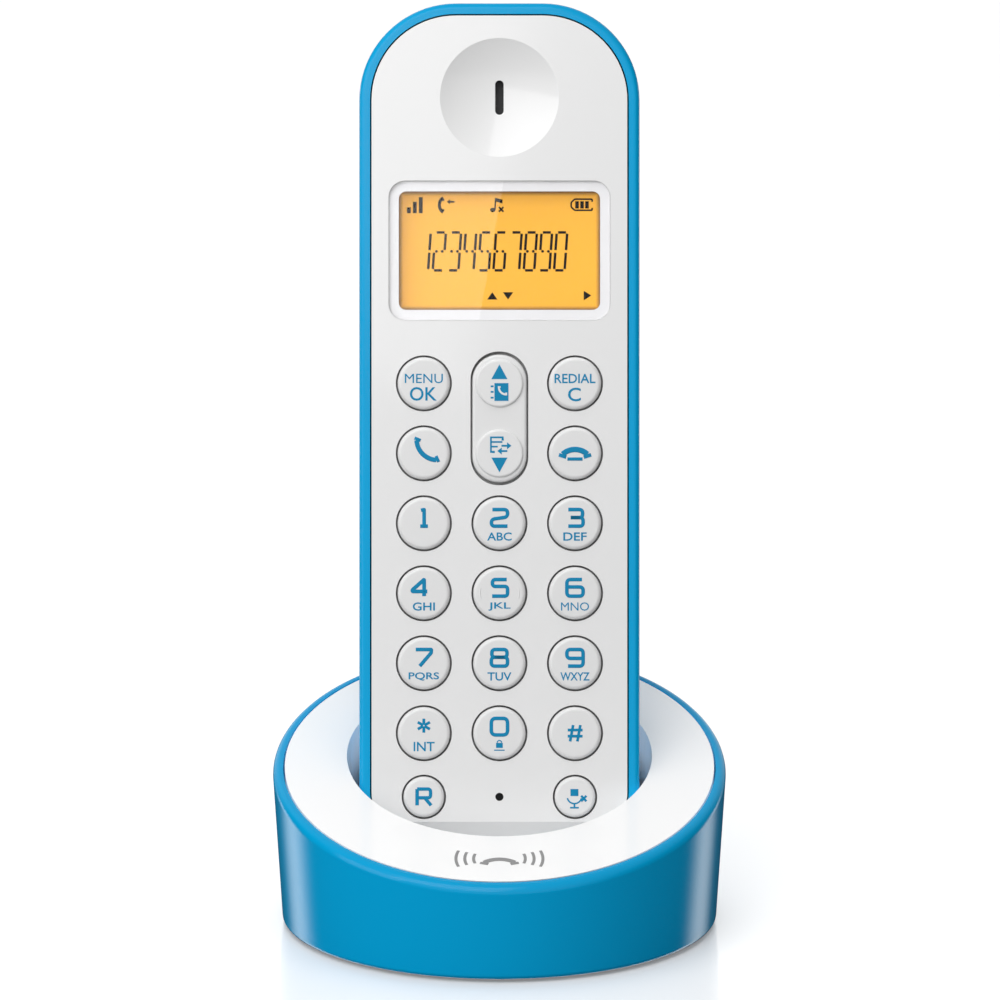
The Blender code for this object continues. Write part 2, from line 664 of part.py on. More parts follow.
def make_electronics():
    outline = rounded_outline(0.037, 0.0085, 0.1185, 0.008, 0.003, 4)
    board = slab(outline, board_face, board_face + board_thickness)
    board = part(board, "handset_board", handset_frame, board_green)
    outline = rounded_outline(0.037, mat_bottom, mat_top, 0.008, 0.002, 4)
    mat = slab(outline, mat_face, mat_face + mat_thickness)
    mat = part(mat, "keymat", handset_frame, grey_rubber)
    domes = bmesh.new()
    for _, x, z, radius in key_places():
        middle = (mat_face + board_face) / 2
        drum(0.0018, (x, middle, z), board_face - mat_face - 2 * gap, "Y", 10, shape=domes)
    combine(mat, cutter(domes, "mat_domes", handset_frame), "UNION")
    mic_way = drum(0.0034, (0.0, 0.005, small_row_height), 0.01, "Y", 20)
    combine(mat, cutter(mic_way, "mat_mic_way", handset_frame))
    for side in (-1, 1):
        way = drum(boss_radius + gap, (side * screw_spread, 0.0, screw_height), 0.03, "Y", 20)
        way = cutter(way, f"boss_way_{side + 1}", handset_frame)
        combine(mat, way)
        combine(board, way)
        shank_front = boss_meet - 0.003
        middle = (side * screw_spread, (shank_front + door_seat) / 2, screw_height)
        shank = drum(screw_radius - 0.0002, middle, door_seat - shank_front - 0.0008, "Y", 12)
        screw = part(shank, "handset_screw_" + ("left" if side < 0 else "right"), handset_frame, steel_metal)
        head = drum(0.0019, (side * screw_spread, door_seat - 0.0007, screw_height), 0.0008, "Y", 20)
        combine(screw, cutter(head, f"handset_screw_head_{side + 1}", handset_frame), "UNION")
        cell_x = side * (cell_radius + gap)
        word = "left" if side < 0 else "right"
        cell_middle = cell_floor + cell_length / 2
        cell = drum(cell_radius, (cell_x, cell_depth, cell_middle), cell_length, segments=20)
        cell = part(cell, f"battery_cell_{word}", handset_frame, cell_wrap)
        tip = cell_floor + cell_length if side < 0 else cell_floor
        button = drum(0.0019, (cell_x, cell_depth, tip), 0.0016, segments=16)
        combine(cell, cutter(button, f"cell_button_{word}", handset_frame), "UNION")
        flat = contact_recess
        contact = block(
            (side * contact_spread - 0.0014, contact_depth - 0.0022, flat),
            (side * contact_spread + 0.0014, contact_depth + 0.0022, body_wall + 0.0007),
        )
        contact = part(contact, f"charge_contact_{word}", handset_frame, steel_metal)
        wide = block(
            (side * contact_spread - 0.0022, contact_depth - 0.0029, body_wall + gap),
            (side * contact_spread + 0.0022, contact_depth + 0.0029, body_wall + 0.0009),
        )
        combine(contact, cutter(wide, f"contact_wide_{word}", handset_frame), "UNION")
    for word, low in (("lower", pocket_bottom + gap), ("upper", pocket_top - gap - 0.0004)):
        half = pocket_half_width - gap
        plate = block((-half, cell_depth - 0.003, low), (half, cell_depth + 0.003, low + 0.0004))
        part(plate, f"battery_contact_{word}", handset_frame, steel_metal)
    ear_front = ear_back + gap
    capsule = drum(0.0095, (0.0, ear_front + 0.0017, ear_height), 0.0034, "Y", 24)
    part(capsule, "earpiece", handset_frame, dark_plastic)
    mic_back = board_face - gap
    mic_front = cover_thickness + gap
    mic = drum(0.003, (0.0, (mic_front + mic_back) / 2, small_row_height), mic_back - mic_front, "Y", 20)
    part(mic, "microphone", handset_frame, dark_plastic)
    ringer_back = handset_thickness - body_wall - gap
    ringer = drum(0.0085, (0.0, ringer_back - 0.0018, ringer_height), 0.0036, "Y", 24)
    part(ringer, "ringer", handset_frame, dark_plastic)
    behind = board_face + board_thickness + gap
    antenna = block((-0.012, behind, 0.1), (0.012, behind + 0.0004, 0.117))
    antenna = part(antenna, "antenna", handset_frame, steel_metal)
    notch = block((-0.008, 0.0, 0.09), (0.009, 0.02, 0.1135))
    combine(antenna, cutter(notch, "antenna_notch", handset_frame))


def make_battery_door():
    door = block((-door_width / 2, door_seat + gap, door_bottom), (door_width / 2, 0.05, door_top))
    door = part(door, "battery_door", handset_frame, blue_gloss)
    limit = cutter(body_solid(), "door_limit", handset_frame)
    combine(door, limit, "INTERSECT")
    for step in range(3):
        height = 0.052 + step * 0.003
        rib = block((-0.005, handset_thickness - 0.0004, height), (0.005, 0.03, height + 0.0012))
        combine(door, cutter(rib, f"grip_{step}", handset_frame))


def stand_at_origin():
    """Moves the assembly so that the middle of its box's underside is the origin."""
    bpy.context.view_layer.update()
    graph = bpy.context.evaluated_depsgraph_get()
    corners = []
    for item in parts.objects:
        if item.type != "EMPTY":
            solid = item.evaluated_get(graph)
            mesh_data = solid.to_mesh()
            corners.extend(item.matrix_world @ vertex.co for vertex in mesh_data.vertices)
            solid.to_mesh_clear()
    low = [min(corner[axis] for corner in corners) for axis in range(3)]
    high = [max(corner[axis] for corner in corners) for axis in range(3)]
    root.location = (-(low[0] + high[0]) / 2, -(low[1] + high[1]) / 2, -low[2])


clear_scene()
parts = new_collection("cordless_phone")
tools = new_collection("cutters")

white_gloss = material("white_gloss", white, 0.25)
blue_gloss = material("blue_gloss", blue, 0.2)
dark_plastic = material("dark_plastic", dark, 0.5)
rubber = material("rubber", (0.03, 0.03, 0.03), 0.8)
grey_rubber = material("grey_rubber", (0.35, 0.35, 0.35), 0.7)
board_green = material("board_green", green, 0.4)
steel_metal = material("steel_metal", steel, 0.3, 1.0)
gold_metal = material("gold_metal", gold, 0.25, 1.0)
clear = material("clear", (0.9, 0.9, 0.92), 0.05)
silver = material("silver", (0.75, 0.75, 0.77), 0.3)
amber = material("amber", (0.95, 0.6, 0.1), 0.4)
cell_wrap = material("cell_wrap", (0.1, 0.35, 0.15), 0.35)

# Sizes that follow from the driving ones.
root = empty("phone_root", None, (0.0, 0.0, 0.0))
tilt_frame = empty("top_plane", root, (0.0, 0.0, base_height), top_tilt)
handset_frame = empty("handset_frame", root, (0.0, 0.0, 0.0))
handset_frame.matrix_local = handset_matrix()

jack_floor = base_bottom + plate_thickness + 0.0024
line_jack_x = -0.0068
power_jack_x = 0.0072
base_screw_angles = (0, 180)
lens_seat = lens_thickness + 2 * gap + bezel_thickness
lcd_face = lens_seat + 0.0018
ear_back = dish_depth + 0.0026
rocker_height = first_row_height - row_pitch / 2
rocker_axis = mat_face - key_travel - 0.0004
screw_height = first_row_height - 1.5 * row_pitch
pocket_front = board_face + board_thickness + gap
cell_depth = pocket_front + pocket_wall + gap + cell_radius
door_seat = cell_depth + cell_radius + gap / 2
pocket_half_width = 2 * cell_radius + gap + 0.001
pocket_bottom = cell_floor - 0.0019
pocket_top = cell_floor + cell_length + 0.0019
boss_meet = pocket_front + 0.0066
mat_bottom = small_row_height - small_key_radius - 0.001
mat_top = first_row_height + key_radius + 0.001
ringer_slots = 5
ringer_pitch = 0.0024
ringer_height = 0.1255

make_base_housing()
make_base_top()
make_base_plate()
make_sockets()
make_page_button()
make_charging_pins()
make_rear_cover()
make_front_cover()
make_keys()
make_display()
make_electronics()
make_battery_door()
stand_at_origin()
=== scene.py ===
import json
import math

import bmesh
import bpy
from mathutils import Matrix, Vector

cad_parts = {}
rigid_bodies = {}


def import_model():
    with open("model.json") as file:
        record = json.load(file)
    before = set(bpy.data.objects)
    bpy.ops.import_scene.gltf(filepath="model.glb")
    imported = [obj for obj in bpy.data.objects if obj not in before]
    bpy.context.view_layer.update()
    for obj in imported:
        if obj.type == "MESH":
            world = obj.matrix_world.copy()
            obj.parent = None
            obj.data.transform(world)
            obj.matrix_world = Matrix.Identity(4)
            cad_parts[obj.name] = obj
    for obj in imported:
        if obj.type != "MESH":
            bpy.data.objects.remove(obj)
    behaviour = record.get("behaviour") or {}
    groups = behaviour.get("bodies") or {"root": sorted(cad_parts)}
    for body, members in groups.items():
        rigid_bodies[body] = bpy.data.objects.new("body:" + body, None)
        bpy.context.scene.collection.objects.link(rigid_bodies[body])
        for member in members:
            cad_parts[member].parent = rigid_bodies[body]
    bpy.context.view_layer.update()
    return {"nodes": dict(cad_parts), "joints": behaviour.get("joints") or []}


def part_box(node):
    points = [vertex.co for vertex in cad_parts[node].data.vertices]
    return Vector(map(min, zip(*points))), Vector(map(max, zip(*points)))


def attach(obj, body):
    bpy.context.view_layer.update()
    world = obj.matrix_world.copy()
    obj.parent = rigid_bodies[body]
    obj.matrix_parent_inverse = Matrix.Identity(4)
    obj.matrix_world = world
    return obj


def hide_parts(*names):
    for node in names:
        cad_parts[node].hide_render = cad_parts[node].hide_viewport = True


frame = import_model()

joints = {joint["name"]: joint for joint in frame["joints"]}

# The handset's own frame: x across, y into the body, z up its length,
# with zero at the middle of its foot.
lean = {"rockerUp": 0.07591, "rockerIn": 0.0033}
liftWay = Vector(joints["handset_lift"]["axis"]).normalized()
pressWay = Vector(joints["key_1_press"]["axis"]).normalized()
rockerMiddle = Vector(joints["nav_rock"]["pos_m"])
handsetFoot = rockerMiddle - liftWay * lean["rockerUp"] - pressWay * lean["rockerIn"]
handsetPlace = Matrix((Vector((1, 0, 0)), pressWay, liftWay)).transposed().to_4x4()
handsetPlace.translation = handsetFoot
cut = {"clear": 0.0003}


def deselect():
    if bpy.context.mode != "OBJECT":
        bpy.ops.object.mode_set(mode="OBJECT")
    bpy.ops.object.select_all(action="DESELECT")


def pick(*pieces):
    deselect()
    for piece in pieces:
        piece.select_set(True)
    bpy.context.view_layer.objects.active = pieces[0]


def bake(piece):
    pick(piece)
    bpy.ops.object.transform_apply(location=True, rotation=True, scale=True)


def selectInside(piece, kind, test):
    # leaves the piece in edit mode with the matching edges or faces selected
    pick(piece)
    bpy.ops.object.mode_set(mode="EDIT")
    bpy.ops.mesh.select_mode(type=kind)
    bpy.ops.mesh.select_all(action="DESELECT")
    shape = bmesh.from_edit_mesh(piece.data)
    found = shape.faces if kind == "FACE" else shape.edges
    for item in found:
        if test(item):
            item.select_set(True)
    bmesh.update_edit_mesh(piece.data)


def roundEdges(piece, test, width, steps):
    selectInside(piece, "EDGE", test)
    bpy.ops.mesh.bevel(offset=width, segments=steps, affect="EDGES")
    bpy.ops.object.mode_set(mode="OBJECT")


def dropFaces(piece, test):
    selectInside(piece, "FACE", test)
    bpy.ops.mesh.delete(type="FACE")
    bpy.ops.object.mode_set(mode="OBJECT")


def sliceOff(piece, spot, way, fill=True):
    selectInside(piece, "FACE", lambda face: True)
    bpy.ops.mesh.bisect(plane_co=spot, plane_no=way, use_fill=fill, clear_outer=True)
    bpy.ops.object.mode_set(mode="OBJECT")


def applied(piece, kind, **settings):
    pick(piece)
    change = piece.modifiers.new(kind.lower(), kind)
    for name, value in settings.items():
        setattr(change, name, value)
    bpy.ops.object.modifier_apply(modifier=change.name)
    return piece


def carve(piece, tool, operation="DIFFERENCE"):
    applied(piece, "BOOLEAN", object=tool, operation=operation, solver="EXACT")
    bpy.data.objects.remove(tool)
    return piece


def joined(pieces, name):
    pick(*pieces)
    if len(pieces) > 1:
        bpy.ops.object.join()
    piece = bpy.context.view_layer.objects.active
    piece.name = name
    return piece


def brick(name, low, high):
    deselect()
    middle = [(a + b) / 2 for a, b in zip(low, high)]
    size = [b - a for a, b in zip(low, high)]
    bpy.ops.mesh.primitive_cube_add(size=1, location=middle, scale=size)
    piece = bpy.context.object
    piece.name = name
    bake(piece)
    return piece


def rod(name, radius, front, back, spot, way="Y", sides=64):
    # a cylinder from front to back along its way, at spot in the other two directions
    deselect()
    middle = (front + back) / 2
    place = (spot[0], middle, spot[1]) if way == "Y" else (spot[0], spot[1], middle)
    turn = (math.pi / 2, 0, 0) if way == "Y" else (0, 0, 0)
    bpy.ops.mesh.primitive_cylinder_add(
        vertices=sides, radius=radius, depth=back - front, location=place, rotation=turn
    )
    piece = bpy.context.object
    piece.name = name
    bake(piece)
    return piece


def runsInward(edge):
    a, b = edge.verts
    return abs(a.co.x - b.co.x) < 1e-7 and abs(a.co.z - b.co.z) < 1e-7


def tablet(name, width, bottom, top, front, back, lowRound, highRound, steps=14):
    # an upright slab with round corners
    piece = brick(name, (-width / 2, front, bottom), (width / 2, back, top))
    level = (bottom + top) / 2

    def corner(edge, upper):
        return runsInward(edge) and (edge.verts[0].co.z > level) == upper

    roundEdges(piece, lambda edge: corner(edge, False), lowRound, steps)
    roundEdges(piece, lambda edge: corner(edge, True), highRound, steps)
    return piece


def onFront(front):
    return lambda edge: all(abs(v.co.y - front) < 1e-7 for v in edge.verts)


def smooth(piece, degrees=30):
    # flat faces stay flat and only the rounded edges between them blend
    pick(piece)
    bpy.ops.object.shade_smooth_by_angle(angle=math.radians(degrees))
    applied(piece, "WEIGHTED_NORMAL", weight=100, keep_sharp=True)
    return piece


def softEdges(piece, width, segments=2, degrees=50):
    # a thin bevel along every sharp edge
    limit = math.radians(degrees)
    applied(piece, "BEVEL", width=width, segments=segments, limit_method="ANGLE", angle_limit=limit)


def moved(piece, way):
    piece.matrix_world = way @ piece.matrix_world
    bake(piece)
    return piece


def finishPiece(piece, body, look, nodes=(), way=None):
    if way is not None:
        moved(piece, way)
    piece.data.materials.clear()
    piece.data.materials.append(look)
    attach(piece, body)
    if nodes:
        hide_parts(*nodes)
    return piece


def newGroup(name, inputs, outputs):
    group = bpy.data.node_groups.new(name, "ShaderNodeTree")
    for label, value in inputs.items():
        kind = "NodeSocketColor" if isinstance(value, tuple) else "NodeSocketFloat"
        socket = group.interface.new_socket(name=label, in_out="INPUT", socket_type=kind)
        socket.default_value = value
    for label, kind in outputs.items():
        group.interface.new_socket(name=label, in_out="OUTPUT", socket_type=kind)
    return group, group.nodes.new("NodeGroupInput"), group.nodes.new("NodeGroupOutput")


def setSockets(made, values):
    for name, value in values.items():
        made.inputs[name].default_value = value


def node(tree, kind, values=None, **settings):
    made = tree.nodes.new(kind)
    for name, value in settings.items():
        setattr(made, name, value)
    setSockets(made, values or {})
    return made


mould = {"slow": 28.0, "fine": 2600.0, "skin": 420.0, "mix": 0.25, "deep": 0.0001, "coat": 0.08}


def mouldedFinish():
    # slow colour drift, fine grain in the roughness, and a height for the skin of moulded plastic
    inputs = {
        "Colour": (0.8, 0.8, 0.8, 1.0),
        "Drift": 0.03,
        "Roughness": 0.25,
        "Grain": 0.05,
    }
    outputs = {
        "Colour": "NodeSocketColor",
        "Roughness": "NodeSocketFloat",
        "Height": "NodeSocketFloat",
    }
    group, given, result = newGroup("mouldedFinish", inputs, outputs)
    link = group.links.new
    spot = node(group, "ShaderNodeTexCoord").outputs["Object"]

    def noise(scale, detail):
        texture = node(group, "ShaderNodeTexNoise", {"Scale": scale, "Detail": detail})
        link(spot, texture.inputs["Vector"])
        return texture.outputs["Fac"]

    slow = noise(mould["slow"], 2.0)
    fine = noise(mould["fine"], 3.0)
    skin = noise(mould["skin"], 2.0)
    centred = node(group, "ShaderNodeMath", {1: 0.5}, operation="SUBTRACT")
    link(slow, centred.inputs[0])
    drift = node(group, "ShaderNodeMath", {2: 1.0}, operation="MULTIPLY_ADD")
    link(centred.outputs[0], drift.inputs[0])
    link(given.outputs["Drift"], drift.inputs[1])
    shade = node(group, "ShaderNodeVectorMath", operation="SCALE")
    link(given.outputs["Colour"], shade.inputs[0])
    link(drift.outputs[0], shade.inputs["Scale"])
    link(shade.outputs["Vector"], result.inputs["Colour"])
    speck = node(group, "ShaderNodeMath", operation="MULTIPLY_ADD")
    link(fine, speck.inputs[0])
    link(given.outputs["Grain"], speck.inputs[1])
    link(given.outputs["Roughness"], speck.inputs[2])
    link(speck.outputs[0], result.inputs["Roughness"])
    blend = node(group, "ShaderNodeMath", {1: mould["mix"]}, operation="MULTIPLY_ADD")
    link(fine, blend.inputs[0])
    link(skin, blend.inputs[2])
    link(blend.outputs[0], result.inputs["Height"])
    return group


moulded = mouldedFinish()


def plastic(
    name, colour, roughness, grain=0.05, drift=0.03, bump=0.02, coat=0.0, metallic=0.0, shine=0.5
):
    look = bpy.data.materials.new(name)
    look.use_nodes = True
    tree = look.node_tree
    link = tree.links.new
    shader = tree.nodes["Principled BSDF"]
    given = {"Colour": (*colour, 1.0), "Drift": drift, "Roughness": roughness, "Grain": grain}
    finish = node(tree, "ShaderNodeGroup", node_tree=moulded)
    setSockets(finish, given)
    relief = node(tree, "ShaderNodeBump", {"Strength": bump, "Distance": mould["deep"]})
    link(finish.outputs["Colour"], shader.inputs["Base Color"])
    link(finish.outputs["Roughness"], shader.inputs["Roughness"])
    link(finish.outputs["Height"], relief.inputs["Height"])
    link(relief.outputs["Normal"], shader.inputs["Normal"])
    setSockets(shader, {"Metallic": metallic, "Specular IOR Level": shine})
    setSockets(shader, {"Coat Weight": coat, "Coat Roughness": mould["coat"]})
    return look


looks = {
    "white": plastic(
        "whitePlastic", (0.80, 0.80, 0.80), 0.32, grain=0.06, drift=0.012, bump=0.03, coat=0.7
    ),
    "key": plastic("keyPlastic", (0.76, 0.76, 0.76), 0.34, grain=0.06, drift=0.012, bump=0.03),
    "blue": plastic("bluePlastic", (0.0, 0.385, 0.735), 0.15, drift=0.05, shine=0.2),
    "ink": plastic("blueInk", (0.002, 0.23, 0.44), 0.5, grain=0.1, drift=0.04, shine=0.2),
    "grey": plastic("greyInk", (0.24, 0.24, 0.24), 0.5, grain=0.1, drift=0.04),
    "segment": plastic("segmentInk", (0.006, 0.004, 0.003), 0.7, drift=0.05, shine=0.05),
    "dark": plastic("darkPlastic", (0.02, 0.02, 0.022), 0.45, grain=0.15, drift=0.1, bump=0.1),
    "rubber": plastic("footRubber", (0.022, 0.022, 0.022), 0.75, grain=0.2, drift=0.15, bump=0.3),
    "mat": plastic("keymatRubber", (0.12, 0.12, 0.12), 0.65, grain=0.2, drift=0.1, bump=0.2),
    "steel": plastic("steelMetal", (0.55, 0.55, 0.54), 0.28, grain=0.15, drift=0.08, metallic=1.0),
    "gold": plastic("contactGold", (0.78, 0.56, 0.22), 0.2, grain=0.1, drift=0.05, metallic=1.0),
    "cell": plastic("cellSleeve", (0.05, 0.22, 0.09), 0.3, grain=0.05, drift=0.1, coat=0.3),
    "frame": plastic("silverPrint", (0.62, 0.62, 0.635), 0.3, grain=0.05, drift=0.02),
}


def boardLook():
    # solder mask with a lattice of tracks under it
    look = plastic("circuitBoard", (0.015, 0.14, 0.05), 0.35, grain=0.1, drift=0.1)
    tree = look.node_tree
    link = tree.links.new
    shader = tree.nodes["Principled BSDF"]
    finish = [item for item in tree.nodes if item.type == "GROUP"][0]
    spot = node(tree, "ShaderNodeTexCoord")
    tracks = node(tree, "ShaderNodeTexBrick", {
        "Scale": 260.0,
        "Mortar Size": 0.03,
        "Color1": (0.015, 0.14, 0.05, 1.0),
        "Color2": (0.018, 0.16, 0.06, 1.0),
        "Mortar": (0.05, 0.3, 0.12, 1.0),
    })
    link(spot.outputs["Object"], tracks.inputs["Vector"])
    blend = node(tree, "ShaderNodeMix", {"Factor": 0.6}, data_type="RGBA")
    link(finish.outputs["Colour"], blend.inputs[6])
    link(tracks.outputs["Color"], blend.inputs[7])
    link(blend.outputs[2], shader.inputs["Base Color"])
    return look


def lensLook():
    look = plastic("clearLens", (1.0, 1.0, 1.0), 0.0, grain=0.01, drift=0.0, bump=0.0)
    setSockets(look.node_tree.nodes["Principled BSDF"], {"Transmission Weight": 1.0, "IOR": 1.27})
    return look


def amberLook(width, height):
    # a backlit panel, warm and even, with painted shade that turns it duller and browner at its
    # edges, where its recess would shade it
    look = plastic("amberPanel", (0.85, 0.42, 0.04), 0.4, grain=0.05, drift=0.02, bump=0.0)
    tree = look.node_tree
    link = tree.links.new
    shader = tree.nodes["Principled BSDF"]
    spot = node(tree, "ShaderNodeTexCoord")
    turned = node(tree, "ShaderNodeMapping", vector_type="TEXTURE")
    turned.inputs["Location"].default_value = panelMiddle
    turned.inputs["Rotation"].default_value = handsetPlace.to_euler()
    link(spot.outputs["Object"], turned.inputs["Vector"])
    split = node(tree, "ShaderNodeSeparateXYZ")
    link(turned.outputs["Vector"], split.inputs["Vector"])
    # painted shade: within 0.9 mm of the window's edges the colour and the glow fall to a dark
    # brown
    edges = []
    for axis, half in (("X", width / 2), ("Z", height / 2)):
        size = node(tree, "ShaderNodeMath", operation="ABSOLUTE")
        link(split.outputs[axis], size.inputs[0])
        paintedShadeRamp = node(tree, "ShaderNodeMapRange", interpolation_type="SMOOTHSTEP")
        setSockets(paintedShadeRamp, {"From Min": half - 0.0009, "From Max": half + 0.0001})
        link(size.outputs[0], paintedShadeRamp.inputs["Value"])
        edges.append(paintedShadeRamp)
    edge = node(tree, "ShaderNodeMath", operation="MAXIMUM")
    link(edges[0].outputs["Result"], edge.inputs[0])
    link(edges[1].outputs["Result"], edge.inputs[1])
    glow = node(tree, "ShaderNodeMix", data_type="RGBA")
    # the second colour is the painted shade at the edges
    setSockets(glow, {6: (0.66, 0.315, 0.006, 1.0), 7: (0.16, 0.07, 0.01, 1.0)})
    link(edge.outputs[0], glow.inputs["Factor"])
    link(glow.outputs[2], shader.inputs["Emission Color"])
    link(glow.outputs[2], shader.inputs["Base Color"])
    shader.inputs["Emission Strength"].default_value = 0.25
    return look


shell = {
    "width": 0.048, "length": 0.147, "depth": 0.022, "topRound": 0.0166, "footRound": 0.012,
    "backRound": 0.0095, "wall": 0.00185, "outerEdge": 0.0010, "edge": 0.00018,
    "chinUp": 0.007, "chinSlope": 35.0,
}


def chinCut(piece, inset=0.0):
    slope = math.radians(shell["chinSlope"])
    # the slope starts at the crease and runs down and back
    way = Vector((0, -math.cos(slope), -math.sin(slope)))
    spot = Vector((0, inset, shell["chinUp"] + inset * math.tan(slope / 2)))
    sliceOff(piece, spot, way)


def shellTablet(name, inset, front, back):
    return tablet(
        name,
        shell["width"] - 2 * inset,
        inset,
        shell["length"] - inset,
        front,
        back,
        shell["footRound"] - inset,
        shell["topRound"] - inset,
        20,
    )


vents = {"count": 5, "wide": 0.012, "half": 0.0006, "first": 0.1207, "step": 0.0024}
door = {
    "width": 0.0274, "bottom": 0.006, "top": 0.0667, "inner": 0.02045, "corner": 0.002,
    "edge": 0.00015, "ribs": 5, "ribWidth": 0.012, "ribHalf": 0.0005, "ribFirst": 0.050,
    "ribStep": 0.0022, "ribDeep": 0.0004,
}


def makeRearCover():
    depth = shell["depth"]
    cover = shellTablet("rearCover", 0.0, 0.0, depth)
    roundEdges(cover, onFront(depth), shell["backRound"], 10)
    roundEdges(cover, onFront(0.0), shell["outerEdge"], 5)
    cavity = shellTablet("cavity", shell["wall"], -0.01, depth - shell["wall"])
    roundEdges(cavity, onFront(depth - shell["wall"]), shell["backRound"] - shell["wall"], 6)
    carve(cover, cavity)
    gap = cut["clear"]
    half = door["width"] / 2 + gap
    near = (-half, door["inner"] - gap, -0.01)
    carve(cover, brick("doorWay", near, (half, 0.05, door["top"] + gap)))
    slots = []
    for n in range(vents["count"]):
        z = vents["first"] + vents["step"] * n
        low, high = z - vents["half"], z + vents["half"]
        slots.append(tablet(f"slot{n}", vents["wide"], low, high, 0.018, 0.03, 0.00055, 0.00055, 4))
    carve(cover, joined(slots, "slots"))
    chinCut(cover)
    softEdges(cover, shell["edge"])
    smooth(cover, 35)
    finishPiece(cover, "handset", looks["blue"], ["rear_cover"], handsetPlace)


def makeDoor():
    depth = shell["depth"]
    piece = shellTablet("batteryDoor", 0.0, 0.0, depth)
    roundEdges(piece, onFront(depth), shell["backRound"], 10)
    half = door["width"] / 2
    inner = door["inner"] + cut["clear"] / 2
    limit = brick("limit", (-half, inner, door["bottom"]), (half, 0.05, door["top"]))
    roundEdges(limit, lambda e: runsInward(e) and e.verts[0].co.z > 0.03, door["corner"], 6)
    carve(piece, limit, "INTERSECT")
    ribs = []
    for n in range(door["ribs"]):
        z = door["ribFirst"] + door["ribStep"] * n
        low, high, near = z - door["ribHalf"], z + door["ribHalf"], depth - door["ribDeep"]
        ribs.append(tablet(f"rib{n}", door["ribWidth"], low, high, near, 0.03, 0.00045, 0.00045, 4))
    carve(piece, joined(ribs, "ribs"))
    softEdges(piece, door["edge"])
    smooth(piece, 35)
    finishPiece(
        piece, "battery_door", looks["blue"], ["battery_door"], handsetPlace
    )


front = {
    "inset": 0.0021, "depth": 0.006, "wall": 0.0019, "crease": 0.0012, "edge": 0.00012,
    "padGrow": 0.0017, "earPadFar": 0.0042, "displayPadFar": 0.0034, "padRound": 0.0045,
    "micRadius": 0.0007, "earUp": 0.13087, "earRadius": 0.0102, "earDepth": 0.0019,
    "slotWidth": 0.00145, "slotLength": 0.0059, "displayUp": 0.10465, "lensWidth": 0.0378,
    "lensHeight": 0.0238, "lensRound": 0.0028, "lensThick": 0.0008, "bezelNear": 0.00084,
    "bezelFar": 0.0016, "lensSeat": 0.0019, "lensGap": 0.00016, "viewWidth": 0.0345,
    "viewHeight": 0.0203, "viewRound": 0.0013,
}
keyRows = {
    "radius": 0.0045,
    "smallRadius": 0.0035,
    "column": 0.01294,
    "pitch": 0.01198,
    "first": 0.0819,
    "small": 0.0111,
    "proud": 0.0005,
    "rim": 0.0007,
    "capFar": 0.0032,
    "footNear": 0.0027,
    "footFar": 0.0033,
    "footReach": 0.0008,
    "smallReach": 0.0005,
    "names": (
        ("menu", None, "redial"),
        ("talk", None, "end"),
        ("1", "2", "3"),
        ("4", "5", "6"),
        ("7", "8", "9"),
        ("star", "0", "hash"),
    ),
}
rocker = {
    "width": 0.0093, "length": 0.0219, "up": lean["rockerUp"], "endGap": 0.0005,
    "padRadius": 0.0041, "saddle": 0.00045, "footGrow": 0.0008, "footEnd": 0.0007,
}


def keySpots():
    spots = {}
    for row, names in enumerate(keyRows["names"]):
        for column, name in enumerate(names):
            if name:
                x = (column - 1) * keyRows["column"]
                spots[name] = (x, keyRows["first"] - row * keyRows["pitch"], keyRows["radius"])
    spots["flash"] = (-keyRows["column"], keyRows["small"], keyRows["smallRadius"])
    spots["mute"] = (keyRows["column"], keyRows["small"], keyRows["smallRadius"])
    return spots


def displayTablet(name, width, height, radius, near, far, steps=10):
    low = front["displayUp"] - height / 2
    high = front["displayUp"] + height / 2
    return tablet(name, width, low, high, near, far, radius, radius, steps)


def rockerTablet(name, grow, endGrow, near, far, steps=24):
    bottom = rocker["up"] - rocker["length"] / 2 - endGrow
    top = rocker["up"] + rocker["length"] / 2 + endGrow
    corner = rocker["width"] / 2 + grow - 0.0001
    return tablet(name, rocker["width"] + 2 * grow, bottom, top, near, far, corner, corner, steps)


def viewWindow():
    wide, tall = front["viewWidth"], front["viewHeight"]
    return displayTablet("window", wide, tall, front["viewRound"], -0.01, 0.02)


